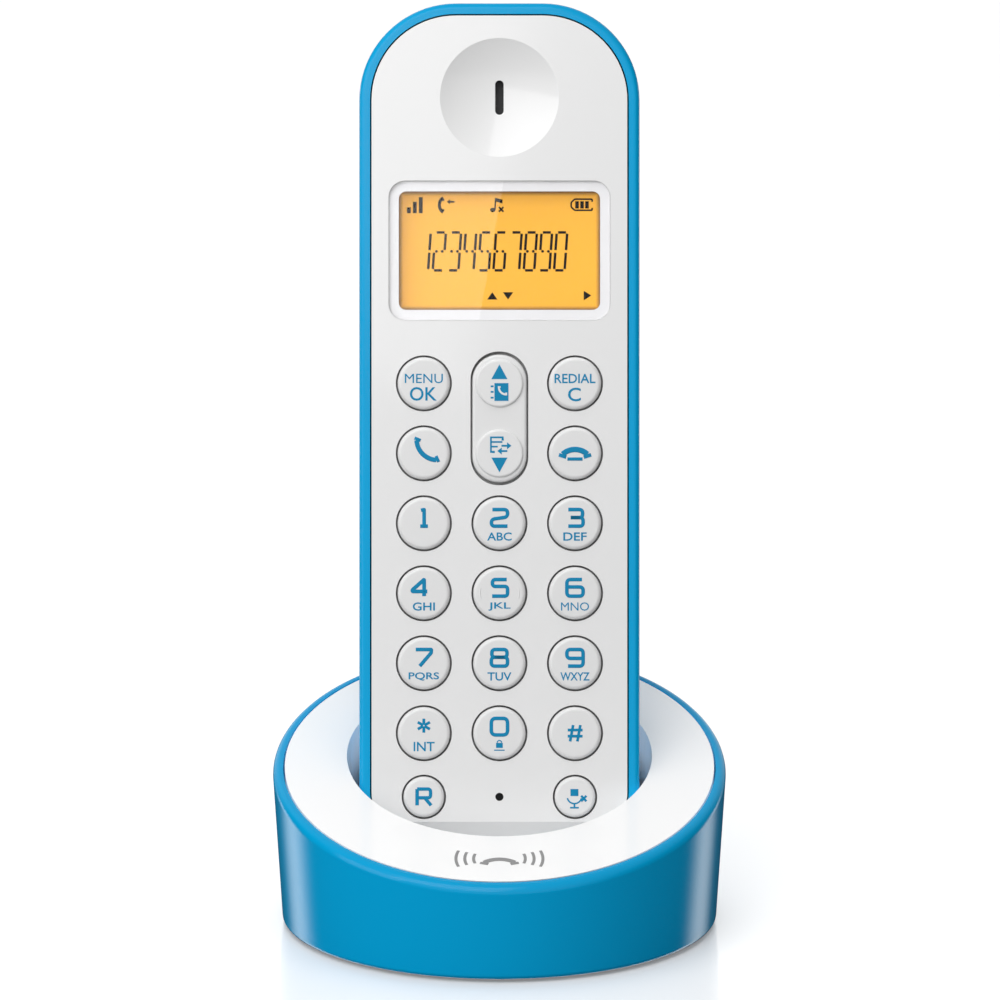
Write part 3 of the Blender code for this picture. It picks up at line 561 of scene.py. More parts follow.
def makeFrontCover():
    gap = cut["clear"]
    cover = shellTablet("frontCover", front["inset"], 0.0, front["depth"])
    chinCut(cover)

    def isCrease(edge):
        onFace = all(abs(v.co.y) < 1e-6 for v in edge.verts)
        return onFace and all(abs(v.co.z - shell["chinUp"]) < 1e-6 for v in edge.verts)

    roundEdges(cover, isCrease, front["crease"], 6)
    dropFaces(cover, lambda face: face.normal.y > 0.9)
    applied(cover, "SOLIDIFY", thickness=front["wall"], offset=-1, use_even_offset=True)
    low = front["wall"] / 2
    # thicker places behind the earpiece and the display
    grow = front["padGrow"]
    earPad = rod("earPad", front["earRadius"] + grow, low, front["earPadFar"], (0, front["earUp"]))
    carve(cover, earPad, "UNION")
    wide, tall = front["lensWidth"] + 2 * grow, front["lensHeight"] + 2 * grow
    pad = displayTablet("displayPad", wide, tall, front["padRound"], low, front["displayPadFar"])
    carve(cover, pad, "UNION")
    ballRadius = (front["earRadius"] ** 2 + front["earDepth"] ** 2) / (2 * front["earDepth"])
    deselect()
    bpy.ops.mesh.primitive_uv_sphere_add(
        segments=128,
        ring_count=180,
        radius=ballRadius,
        location=(0, front["earDepth"] - ballRadius, front["earUp"]),
        rotation=(math.pi / 2, 0, 0),
    )
    ball = bpy.context.object
    bake(ball)
    carve(cover, ball)
    end = front["slotWidth"] / 2 - 1e-6
    bottom = front["earUp"] - front["slotLength"] / 2
    top = front["earUp"] + front["slotLength"] / 2
    carve(cover, tablet("slot", front["slotWidth"], bottom, top, -0.01, 0.02, end, end, 10))
    seat = displayTablet(
        "seat",
        front["lensWidth"] + front["lensGap"],
        front["lensHeight"] + front["lensGap"],
        front["lensRound"] + front["lensGap"] / 2,
        -0.01,
        front["lensSeat"],
    )
    carve(cover, seat)
    carve(cover, viewWindow())
    holes = [
        rod(f"hole{name}", radius + gap, -0.01, 0.01, (x, z), sides=72)
        for name, (x, z, radius) in keySpots().items()
    ]
    holes.append(rod("micHole", front["micRadius"], -0.01, 0.01, (0, keyRows["small"]), sides=32))
    holes.append(rockerTablet("rockerHole", gap, rocker["endGap"], -0.01, 0.01))
    carve(cover, joined(holes, "holes"))
    softEdges(cover, front["edge"], 2, 42)
    smooth(cover, 30)
    finishPiece(cover, "handset", looks["white"], ["front_cover"], handsetPlace)


def makeKey(name, x, z, radius):
    proud = keyRows["proud"]
    key = rod(f"key_{name}_cap", radius, -proud, keyRows["capFar"], (x, z), sides=72)
    roundEdges(key, onFront(-proud), keyRows["rim"], 5)
    reach = keyRows["smallReach" if radius == keyRows["smallRadius"] else "footReach"]
    foot = rod("flange", radius + reach, keyRows["footNear"], keyRows["footFar"], (x, z), sides=48)
    carve(key, foot, "UNION")
    smooth(key, 40)
    finishPiece(
        key, f"key_{name}", looks["key"], [f"key_{name}"], handsetPlace
    )


def makeRocker():
    proud = keyRows["proud"]
    near = -proud + rocker["saddle"]
    body = rockerTablet("rockerCap", 0.0, 0.0, near, keyRows["footFar"])
    roundEdges(body, onFront(near), 0.0005, 4)
    # the foot ends a hair behind the cap, so that the two never share a face
    far = keyRows["footFar"] + 0.00002
    grow, end = rocker["footGrow"], rocker["footEnd"]
    carve(body, rockerTablet("rockerFoot", grow, end, keyRows["footNear"], far), "UNION")
    for side in (-1, 1):
        z = rocker["up"] + side * keyRows["pitch"] / 2
        pad = rod("pad", rocker["padRadius"], -proud, 0.002, (0, z), sides=72)
        roundEdges(pad, onFront(-proud), 0.0004, 4)
        carve(body, pad, "UNION")
    smooth(body, 40)
    finishPiece(body, "nav_rocker", looks["key"], ["nav_rocker"], handsetPlace)


def makeLens():
    wide, tall, corner = front["lensWidth"], front["lensHeight"], front["lensRound"]
    lens = displayTablet("displayLens", wide, tall, corner, 0.0, front["lensThick"])
    roundEdges(lens, onFront(0.0), 0.00008, 2)
    smooth(lens, 30)
    lens.visible_shadow = False
    finishPiece(lens, "handset", lensLook(), ["display_lens"], handsetPlace)
    grow = front["lensGap"] / 2
    near, far = front["bezelNear"], front["bezelFar"]
    bezel = displayTablet("displayBezel", wide + grow, tall + grow, corner, near, far)
    carve(bezel, viewWindow())
    smooth(bezel, 30)
    finishPiece(bezel, "handset", looks["frame"], ["display_bezel"], handsetPlace)


ink = {"lift": 0.00002, "thick": 0.00002, "digit": 0.00066}


def roundedPath(points, radius, closed=False, steps=5):
    # a path whose inner corners are turned into arcs
    inner = range(len(points)) if closed else range(1, len(points) - 1)
    path = [] if closed else [Vector(points[0])]
    for n in inner:
        before, here = Vector(points[n - 1]), Vector(points[n])
        after = Vector(points[(n + 1) % len(points)])
        reach = min(radius, (before - here).length * 0.49, (after - here).length * 0.49)
        start = here + (before - here).normalized() * reach
        stop = here + (after - here).normalized() * reach
        for step in range(steps + 1):
            share = step / steps
            path.append(start.lerp(here, share).lerp(here.lerp(stop, share), share))
    if not closed:
        path.append(Vector(points[-1]))
    return path


def place(name, data):
    piece = bpy.data.objects.new(name, data)
    bpy.context.scene.collection.objects.link(piece)
    return piece


def drawn(name, line, points, closed):
    # the curve through these points, as a mesh
    spline = line.splines.new("POLY")
    spline.points.add(len(points) - 1)
    for point, spot in zip(spline.points, points):
        point.co = (*[value / 1000 for value in spot], 1)
    spline.use_cyclic_u = closed
    pick(place(name, line))
    bpy.ops.object.convert(target="MESH")
    return bpy.context.object


def stroke(points, width, radius=0.0, closed=False):
    # a flat line with round ends, drawn in millimetres in X and Z
    line = bpy.data.curves.new("stroke", "CURVE")
    line.dimensions = "3D"
    line.bevel_depth = width / 2000
    line.bevel_resolution = 3
    line.use_fill_caps = not closed
    path = roundedPath(points, radius, closed) if radius else points
    piece = drawn("stroke", line, [(x, 0, z) for x, z in path], closed)
    piece.scale = (1, ink["thick"] / (width / 1000), 1)
    bake(piece)
    return piece


def disc(radius, spot, stretch=1.0):
    piece = rod("disc", radius / 1000, -ink["thick"] / 2, ink["thick"] / 2, (0, 0), sides=32)
    piece.scale = (1, 1, stretch)
    piece.location = (spot[0] / 1000, 0, spot[1] / 1000)
    bake(piece)
    return piece


def patch(points):
    # a filled flat outline, in millimetres
    line = bpy.data.curves.new("patch", "CURVE")
    line.dimensions = "2D"
    line.fill_mode = "BOTH"
    line.extrude = ink["thick"] / 2
    piece = drawn("patch", line, [(x, z, 0) for x, z in points], True)
    piece.rotation_euler = (math.pi / 2, 0, 0)
    bake(piece)
    return piece


def lettering(words, height, spot, width=None, bold=0.03):
    # text of this capital height, centred on spot, in millimetres
    deselect()
    bpy.ops.object.text_add()
    piece = bpy.context.object
    piece.data.body = words
    piece.data.size = height / 1000 / 0.7
    # a wide outline would close up the letter M
    piece.data.offset = 0.0 if "M" in words else bold / 1000
    piece.data.extrude = ink["thick"] / 2
    piece.data.resolution_u = 4
    pick(piece)
    bpy.ops.object.convert(target="MESH")
    piece = bpy.context.object
    piece.rotation_euler = (math.pi / 2, 0, 0)
    bake(piece)
    xs = [v.co.x for v in piece.data.vertices]
    zs = [v.co.z for v in piece.data.vertices]
    across = width / 1000 / (max(xs) - min(xs)) if width else 1.0
    tall = height / 1000 / (max(zs) - min(zs)) if words.isalpha() else 1.0
    piece.scale = (across, 1, tall)
    middleX = (max(xs) + min(xs)) / 2 * across
    middleZ = (max(zs) + min(zs)) / 2 * tall
    piece.location = (spot[0] / 1000 - middleX, 0, spot[1] / 1000 - middleZ)
    bake(piece)
    return piece


# each digit is a list of strokes: its points in millimetres, their corner radius, and if it closes
digitPaths = {
    "1": [
        ([(-0.5, 1.3), (0.05, 1.42), (0.05, -1.42)], 0.05, False),
        ([(-0.62, -1.42), (0.7, -1.42)], 0, False),
    ],
    "2": [(
        [(-1.2, 1.42), (1.39, 1.42), (1.39, 0.15), (-1.37, -0.25), (-1.37, -1.42), (1.39, -1.42)],
        0.75, False,
    )],
    "3": [
        ([(-1.15, 1.42), (1.3, 1.42), (1.3, 0.05), (-0.75, 0.05)], 0.6, False),
        ([(-0.75, 0.05), (1.39, 0.05), (1.39, -1.42), (-1.15, -1.42)], 0.6, False),
    ],
    "4": [(
        [(0.55, -1.42), (0.55, 1.42), (-1.45, -0.35), (-1.45, -0.62), (1.1, -0.62)], 0.12, False
    )],
    "5": [(
        [(1.25, 1.42), (-1.2, 1.42), (-1.2, 0.25), (1.39, 0.25), (1.39, -1.42), (-1.25, -1.42)],
        0.55, False,
    )],
    "6": [(
        [(1.2, 1.42), (-1.39, 1.42), (-1.39, -1.42), (1.39, -1.42), (1.39, 0.15), (-1.39, 0.15)],
        0.65, False,
    )],
    "7": [([(-1.39, 1.42), (1.3, 1.42), (1.25, 0.85), (-0.7, -1.42)], 0.12, False)],
    "8": [
        ([(-1.3, 1.42), (1.3, 1.42), (1.3, 0.1), (-1.3, 0.1)], 0.6, True),
        ([(-1.39, 0.1), (1.39, 0.1), (1.39, -1.42), (-1.39, -1.42)], 0.6, True),
    ],
    "9": [(
        [(-1.2, -1.42), (1.39, -1.42), (1.39, 1.42), (-1.39, 1.42), (-1.39, -0.1), (1.39, -0.1)],
        0.65, False,
    )],
    "0": [([(-1.39, 1.42), (1.39, 1.42), (1.39, -1.42), (-1.39, -1.42)], 0.8, True)],
}
letters = {
    "2": ("ABC", 4.2), "3": ("DEF", 4.0), "4": ("GHI", 3.8), "5": ("JKL", 3.8),
    "6": ("MNO", 4.8), "7": ("PQRS", 5.2), "8": ("TUV", 4.1), "9": ("WXYZ", 5.0),
}


def digit(name, shiftX=0.0, shiftZ=0.94):
    made = []
    for points, radius, closed in digitPaths[name]:
        moved = [(x + shiftX, z + shiftZ) for x, z in points]
        made.append(stroke(moved, ink["digit"] * 1000, radius, closed))
    return made


def arc(middle, radius, start, stop, steps=12):
    angles = [math.radians(start + (stop - start) * n / steps) for n in range(steps + 1)]
    return [(middle[0] + radius * math.cos(a), middle[1] + radius * math.sin(a)) for a in angles]


def receiver(size, turn, spot, thick=0.62):
    # a telephone receiver: a bent bar with two heavier ends
    bar = arc((0, -size * 1.15), size * 1.55, 48, 132)
    made = [stroke(bar, thick)]
    for x, z in (bar[0], bar[-1]):
        side = 1 if x > 0 else -1
        made.append(stroke([(x - 0.1 * side, z), (x + 0.1 * side, z - thick * 0.6)], thick * 1.4))
    piece = joined(made, "receiver")
    piece.rotation_euler = (0, -math.radians(turn), 0)
    piece.location = (spot[0] / 1000, 0, spot[1] / 1000)
    bake(piece)
    return piece


def arrow(tip, way, length, head, thick):
    x, z = tip
    neck, half = x - way * head, head * 0.8
    return [
        stroke([(x - way * length, z), (neck, z)], thick),
        patch([(x, z), (neck, z + half), (neck, z - half)]),
    ]


def legendFor(name):
    if name in letters:
        shift = -0.5 if name == "4" else 0.0
        words, width = letters[name]
        return digit(name, shift) + [lettering(words, 1.42, (0, -2.26), width)]
    if name == "1":
        return digit("1")
    if name == "0":
        lock = [
            patch([(-0.58, -2.5), (0.58, -2.5), (0.58, -1.65), (-0.58, -1.65)]),
            stroke(arc((0, -1.62), 0.38, 0, 180), 0.2),
            stroke([(-0.9, -2.9), (0.9, -2.9)], 0.2),
        ]
        return digit("0", 0.0, 1.13) + lock
    if name == "star":
        rays = []
        for n in range(6):
            a = math.radians(90 + 60 * n)
            inner = (0.12 * math.cos(a), 1.3 + 0.12 * math.sin(a))
            outer = (1.2 * math.cos(a), 1.3 + 1.2 * math.sin(a))
            rays.append(stroke([inner, outer], 0.5))
        return rays + [lettering("INT", 1.6, (0.05, -2.28), 3.6)]
    if name == "hash":
        bars = [stroke([(x - 0.22, -1.4), (x + 0.3, 1.4)], 0.5) for x in (-0.62, 0.62)]
        return bars + [stroke([(-1.25, z), (1.3, z)], 0.5) for z in (-0.5, 0.55)]
    if name == "menu":
        lower = lettering("OK", 2.35, (-0.1, -1.8), 4.6, 0.04)
        return [lettering("MENU", 1.6, (0, 0.84), 6.5), lower]
    if name == "redial":
        lower = lettering("C", 2.35, (-0.1, -1.9), 2.2, 0.04)
        return [lettering("REDIAL", 1.6, (0, 0.84), 7.0), lower]
    if name == "talk":
        return [receiver(2.3, 135, (0.45, 0.55), 0.85)]
    if name == "end":
        return [receiver(2.05, 0, (0, -0.15), 1.0), stroke([(-1.3, -0.97), (1.3, -0.97)], 0.6)]
    if name == "flash":
        return [
            stroke([(-1.15, -1.45), (-1.15, 1.35)], 0.62),
            stroke([(-1.15, 1.35), (1.15, 1.35), (1.15, -0.15), (-1.15, -0.15)], 0.62, 0.5),
            stroke([(0.15, -0.15), (1.25, -1.45)], 0.62),
        ]
    # a struck-out microphone
    return [
        stroke([(-0.1, 0.15), (-0.1, 1.35)], 1.35),
        stroke(arc((-0.1, 0.1), 1.25, 195, 345), 0.28),
        stroke([(-0.1, -1.1), (-0.1, -1.8)], 0.3),
        stroke([(-0.85, -1.85), (0.65, -1.85)], 0.3),
        stroke([(1.05, -0.75), (1.95, 0.2)], 0.42),
        stroke([(1.05, 0.2), (1.95, -0.75)], 0.42),
    ]


def layOn(pieces, name, spot, face, body, look):
    piece = joined(pieces, name)
    piece.location = (spot[0], face, spot[1])
    bake(piece)
    return finishPiece(piece, body, look, way=handsetPlace)


def makeKeys():
    for name, (x, z, radius) in keySpots().items():
        makeKey(name, x, z, radius)
        face = -keyRows["proud"] - ink["lift"]
        legend = legendFor(name)
        layOn(legend, f"legend_{name}", (x, z), face, f"key_{name}", looks["ink"])
    x, z, _ = keySpots()["5"]
    for side in (-1, 1):
        # a low finger rib at each side of the middle key
        middle = 90 + side * 90
        rib = stroke(arc((0, 0), 3.35, middle - 16, middle + 16), 0.3)
        rib.scale = (1, 6, 1)
        face = -keyRows["proud"]
        layOn([rib], f"rib_{side + 1}", (x, z), face, "key_5", looks["key"])


def rockerLegends():
    top = keyRows["pitch"] * 1000 / 2
    made = [
        patch([(-1.38, top + 0.73), (1.38, top + 0.73), (0, top + 3.25)]),
        patch([(-0.85, top - 3.0), (1.55, top - 3.0), (1.55, top + 0.05), (-0.85, top + 0.05)]),
    ]
    made += [stroke([(-1.5, top + z), (-1.0, top + z)], 0.32) for z in (-0.5, -1.45, -2.45)]
    low = -top
    page = [(0.55, 2.2), (0.55, 2.75), (-1.45, 2.75), (-1.45, 0.25), (-0.8, 0.25)]
    page = [(x, low + z) for x, z in page]
    made += [
        patch([(-1.38, low - 0.73), (1.38, low - 0.73), (0, low - 3.25)]),
        stroke(page, 0.42),
        stroke([(-1.3, low + 1.95), (0.5, low + 1.95)], 0.3),
        stroke([(-1.3, low + 1.15), (-0.3, low + 1.15)], 0.3),
    ]
    made += arrow((2.05, low + 1.3), 1, 1.7, 0.75, 0.34)
    made += arrow((-0.35, low + 0.4), -1, 1.7, 0.75, 0.34)
    face, spot = -keyRows["proud"] - ink["lift"], (0, rocker["up"])
    layOn(made, "legend_rocker", spot, face, "nav_rocker", looks["ink"])
    small = receiver(0.82, 135, (0.5, top - 1.3), 0.36)
    face -= ink["thick"]
    layOn([small], "legend_book", spot, face, "nav_rocker", looks["key"])


panel = {
    "face": 0.0037, "slant": 0.07, "digitStep": 2.6, "digitHalf": 0.9, "digitTall": 3.25,
    "endGap": 0.22, "line": 0.46,
}
panelMiddle = handsetPlace @ Vector((0, panel["face"], front["displayUp"]))
segments = {
    "1": "bc", "2": "abged", "3": "abgcd", "4": "fgbc", "5": "afgcd",
    "6": "afgedc", "7": "abc", "8": "abcdefg", "9": "abcdfg", "0": "abcdef",
}


def segmentDigit(name, x, z):
    w, t, gap = panel["digitHalf"], panel["digitTall"], panel["endGap"]
    lines = {
        "a": [(-w + gap, t), (w - gap, t)],
        "d": [(-w + gap, -t), (w - gap, -t)],
        "f": [(-w, t - gap), (-w, gap)],
        "b": [(w, t - gap), (w, gap)],
        "e": [(-w, -gap), (-w, -t + gap)],
        "c": [(w, -gap), (w, -t + gap)],
    }
    made = []
    for letter in segments[name]:
        if letter == "g":
            made += [disc(0.24, (x + side * 0.5, z)) for side in (-1, 1)]
        else:
            ends = [(x + px + pz * panel["slant"], z + pz) for px, pz in lines[letter]]
            made.append(stroke(ends, panel["line"]))
    return made


def block(left, low, wide, tall):
    return [(left, low), (left + wide, low), (left + wide, low + tall), (left, low + tall)]


def displayPicture():
    # ten digits, with small signs for signal, call, tone, battery and keys around them
    shapes = []
    for n, name in enumerate("1234567890"):
        shapes += segmentDigit(name, -12.9 + n * panel["digitStep"], -0.1)
    for n, tall in enumerate((1.0, 1.95, 2.75)):
        left = -15.85 + n * 1.02
        shapes.append(patch(block(left, 6.45, 0.66, tall)))
    cell = [(15.9, 7.35), (15.9, 6.95), (12.9, 6.95), (12.3, 7.5)]
    cell += [(12.3, 8.3), (12.9, 8.85), (15.9, 8.85), (15.9, 8.4)]
    shapes.append(receiver(1.0, 90, (-9.9, 7.85), 0.55))
    shapes += arrow((-9.0, 8.4), -1, 1.3, 0.55, 0.32)
    shapes += [
        disc(0.45, (-1.15, 7.0), 0.85),
        stroke([(-0.78, 7.0), (-0.65, 8.9)], 0.26),
        patch([(-0.75, 9.1), (0.55, 8.75), (0.5, 8.1), (-0.7, 8.5)]),
        stroke([(-0.1, 6.7), (0.7, 7.5)], 0.32),
        stroke([(-0.1, 7.5), (0.7, 6.7)], 0.32),
        stroke(cell, 0.28, 0.2),
    ]
    shapes += [patch(block(x, 7.25, 0.62, 1.25)) for x in (13.0, 13.85, 14.7)]
    shapes += [
        patch([(-2.1, -8.35), (-0.35, -8.35), (-1.22, -7.1)]),
        patch([(0.6, -7.1), (2.35, -7.1), (1.47, -8.35)]),
        patch([(14.45, -8.5), (14.45, -6.85), (15.75, -7.67)]),
    ]
    face = panel["face"] - ink["lift"]
    spot = (0, front["displayUp"])
    layOn(shapes, "displayPicture", spot, face, "handset", looks["segment"])


dock = {
    "footRadius": 0.0372, "rimRadius": 0.0389, "high": 0.0276, "bottom": 0.0005,
    "tilt": 15.8, "wall": 0.0019, "rimRound": 0.0014, "footRound": 0.0009,
    "discRadius": 0.0368, "discThick": 0.0022, "wellRadius": 0.0262, "wellBack": 0.0035,
    "wellWall": 0.0015, "wellRound": 0.004, "ledge": 0.0016, "ledgeUnder": 0.0041,
    "mouthDown": 0.0045, "pinHole": 0.0015, "pinSide": 0.009, "pinIn": 0.01,
    "floorHalfWide": 0.0252, "floorHalfDeep": 0.016, "lip": 0.0005,
}
dockMiddle = Vector((0, (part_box("foot_1")[0][1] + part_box("foot_3")[1][1]) / 2, 0))
planeMiddle = dockMiddle + Vector((0, 0, dock["high"]))
planeTurn = Matrix.Rotation(math.radians(dock["tilt"]), 4, "X")
planePlace = Matrix.Translation(planeMiddle) @ planeTurn


def ruledCup(name, lowRing, highRing, sides=128):
    # a drum whose lower ring and upper ring are sent to two places by the two functions
    deselect()
    bpy.ops.mesh.primitive_cylinder_add(vertices=sides, radius=1, depth=1, location=(0, 0, 0.5))
    piece = bpy.context.object
    piece.name = name
    bake(piece)
    for vertex in piece.data.vertices:
        x, y, z = vertex.co
        vertex.co = lowRing(x, y) if z < 0.5 else highRing(x, y)
    return piece


def wallCup(name, inset, low, high):
    # both ends lie on the straight lines of the wall: low is a height, high is off the top plane
    def along(x, y, share):
        foot = dockMiddle + Vector((x, y, 0)) * (dock["footRadius"] - inset)
        foot += Vector((0, 0, dock["bottom"]))
        radius = dock["rimRadius"] - inset
        rim = planePlace @ Vector((x * radius, y * radius, 0))
        return foot + (rim - foot) * share(foot, rim)

    def atLow(foot, rim):
        return (low - foot.z) / (rim.z - foot.z)

    def atHigh(foot, rim):
        return 1 - high / (planePlace.inverted() @ foot).z

    return ruledCup(name, lambda x, y: along(x, y, atLow), lambda x, y: along(x, y, atHigh), 192)


def wellCup(name, grow, floorDrop, top):
    wide = dock["floorHalfWide"] + grow
    deep = dock["floorHalfDeep"] + grow
    mouth = dock["wellRadius"] + grow
    middle, down = shell["depth"] / 2, -cut["clear"] - floorDrop
    return ruledCup(
        name,
        lambda x, y: handsetPlace @ Vector((x * wide, middle + y * deep, down)),
        lambda x, y: planePlace @ Vector((x * mouth, dock["wellBack"] + y * mouth, top)),
    )


def tilted(piece):
    return moved(piece, planePlace)


def onTopPlane(edge):
    return all(abs((planePlace.inverted() @ v.co).z) < 1e-6 for v in edge.verts)


bay = {
    "half": 0.0136, "back": 0.035, "top": 0.0155, "side": 0.0019, "wall": 0.0016,
    "bottom": 0.0006, "edge": 0.0002, "jackFloor": 0.0049, "lineX": -0.0068,
    "lineHalf": 0.0046, "lineLow": 0.0014, "lineHigh": 0.0084, "powerX": 0.0072,
    "powerRadius": 0.0035, "powerUp": 0.0045, "pageRadius": 0.0043, "pageUp": 0.0245,
}


def makeHousing():
    wall = wallCup("baseHousing", 0.0, dock["bottom"], 0.0)
    low = dock["bottom"] + 1e-6
    roundEdges(wall, onTopPlane, dock["rimRound"], 7)
    roundEdges(wall, lambda e: all(v.co.z < low for v in e.verts), dock["footRound"], 6)
    carve(wall, wallCup("hollow", dock["wall"], 0.0, -dock["ledgeUnder"]))
    radius, down = dock["discRadius"] + cut["clear"], dock["discThick"] + cut["clear"]
    carve(wall, tilted(rod("seat", radius, -down, 0.02, (0, 0), "Z", 192)))
    # the opening inside the ledge stays shallow, because it leans towards the back wall
    radius = dock["discRadius"] - dock["ledge"]
    carve(wall, tilted(rod("mouth", radius, -dock["mouthDown"], 0.02, (0, 0), "Z", 128)))
    y = dockMiddle.y
    half, back = bay["half"], y + bay["back"]
    near = (-half - bay["side"], back - bay["wall"], bay["bottom"])
    solid = brick("bayWall", near, (half + bay["side"], y + 0.05, bay["top"] + bay["side"]))
    carve(solid, wallCup("limit", dock["wall"] / 2, -0.01, -0.001), "INTERSECT")
    carve(wall, solid, "UNION")
    carve(wall, brick("bay", (-half, back, -0.01), (half, y + 0.05, bay["top"])))
    floor = bay["jackFloor"]
    near = (bay["lineX"] - bay["lineHalf"], y + 0.03, floor + bay["lineLow"])
    far = (bay["lineX"] + bay["lineHalf"], y + 0.04, floor + bay["lineHigh"])
    carve(wall, brick("lineMouth", near, far))
    spot = (bay["powerX"], floor + bay["powerUp"])
    carve(wall, rod("powerMouth", bay["powerRadius"], y + 0.03, y + 0.04, spot))
    carve(wall, rod("pageMouth", bay["pageRadius"], y + 0.03, y + 0.045, (0, bay["pageUp"])))
    softEdges(wall, bay["edge"])
    smooth(wall, 35)
    finishPiece(wall, "base", looks["blue"], ["base_housing"])


def makeBaseTop():
    topDisc = tilted(rod("baseTop", dock["discRadius"], -dock["discThick"], 0.0, (0, 0), "Z", 192))
    wall = dock["wellWall"]
    carve(topDisc, wellCup("wellShell", wall, wall, -dock["discThick"] / 2), "UNION")
    well = wellCup("well", 0.0, 0.0, 0.0003)

    def onFloor(edge):
        ups = [(handsetPlace.inverted() @ v.co).z + cut["clear"] for v in edge.verts]
        return all(abs(up) < 1e-6 for up in ups)

    roundEdges(well, onFloor, dock["wellRound"], 8)
    carve(topDisc, well)
    for side in (-1, 1):
        spot = (side * dock["pinSide"], dock["pinIn"])
        hole = rod("pinHole", dock["pinHole"], -0.01, 0.01, spot, "Z", 40)
        carve(topDisc, moved(hole, handsetPlace))
    softEdges(topDisc, dock["lip"], 4, 45)
    smooth(topDisc, 35)
    return finishPiece(topDisc, "base", looks["white"], ["base_top"])


badge = {"down": 0.0296, "line": 0.55, "arcs": (4.4, 5.9, 7.4)}


def makeBadge():
    # a plain receiver with signal arcs on both sides
    shapes = [receiver(2.5, 0, (0, -1.2), 1.1)]
    for reach in badge["arcs"]:
        shapes.append(stroke(arc((0, 0), reach, -20, 20), badge["line"]))
        shapes.append(stroke(arc((0, 0), reach, 160, 200), badge["line"]))
    mark = joined(shapes, "badge")
    # laid flat, facing up, on the sloping top
    mark.rotation_euler = (-math.pi / 2, 0, 0)
    mark.location = (0, -badge["down"], ink["lift"])
    bake(mark)
    tilted(mark)
    finishPiece(mark, "base", looks["grey"])


def makeFeet():
    for number in range(1, 5):
        name = f"foot_{number}"
        low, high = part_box(name)
        spot = ((low[0] + high[0]) / 2, (low[1] + high[1]) / 2)
        foot = rod(f"rubberFoot{number}", (high[0] - low[0]) / 2, low[2], high[2], spot, "Z", 64)
        roundEdges(foot, lambda e: all(v.co.z < low[2] + 1e-7 for v in e.verts), 0.0003, 3)
        smooth(foot, 40)
        finishPiece(foot, "base", looks["rubber"], [name])


def makePageButton():
    low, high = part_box("page_button")
    spot = (0, (low[2] + high[2]) / 2)
    button = rod("pageButton", (high[0] - low[0]) / 2, low[1], high[1], spot, "Y", 96)
    roundEdges(button, lambda e: all(v.co.y > high[1] - 1e-7 for v in e.verts), 0.0006, 5)
    smooth(button, 40)
    finishPiece(button, "page_button", looks["blue"], ["page_button"])


def dressNodes():
    board = boardLook()
    amber = amberLook(front["viewWidth"], front["viewHeight"])
    choices = {
        "dark": (
            "base_plate", "line_jack", "power_jack", "page_switch",
            "earpiece", "microphone", "ringer",
        ),
        "steel": (
            "base_screw_1", "base_screw_2", "charge_spring_left", "charge_spring_right",
            "antenna", "battery_contact_lower", "battery_contact_upper",
            "charge_contact_left", "charge_contact_right",
            "handset_screw_left", "handset_screw_right",
        ),
        "gold": ("charge_pin_left", "charge_pin_right"),
        "cell": ("battery_cell_left", "battery_cell_right"),
        "mat": ("keymat",),
        "white": ("backlight",),
    }
    named = {name: looks[look] for look, names in choices.items() for name in names}
    for name in ("base_board", "charge_board", "page_board", "handset_board"):
        named[name] = board
    named["lcd_panel"] = amber
    for name, look in named.items():
        piece = frame["nodes"][name]
        piece.data.materials.clear()
        piece.data.materials.append(look)


studio = {
    "lens": 700.0,
    "sensor": 36,
    "aimX": 0.0001,
    "headroom": 0.00055,
    "across": 0.17123,
    "skyFront": 0.72,
    "skySide": 0.06,
    "skyTop": 0.5,
    "skyBack": 1.3,
    "stripGlow": 3.2,
    "stripAt": 0.62,
    "stripHalf": 0.24,
    "floorGlow": 0.2,
    "floorShade": 0.8,
    "floorBounce": 0.3,
    "softbox": 2.3,
    "softWide": 0.42,
    "softTall": 0.46,
    "softAway": 0.42,
    "softTurn": 10.0,
    "softCorner": (-0.0065, 0.082),
    "sideBox": 2.0,
    "sideSpot": (-0.75, -0.4, 0.33),
    "sideSize": (0.5, 0.6),
    "wellLight": 60.0,
    "wellAway": 0.6,
    "wellUp": 0.07,
    "wellSize": (0.15, 0.05),
    "topBox": 1.9,
    "topSpot": (0, 0.1, 1.0),
    "topSize": (0.8, 0.8),
}


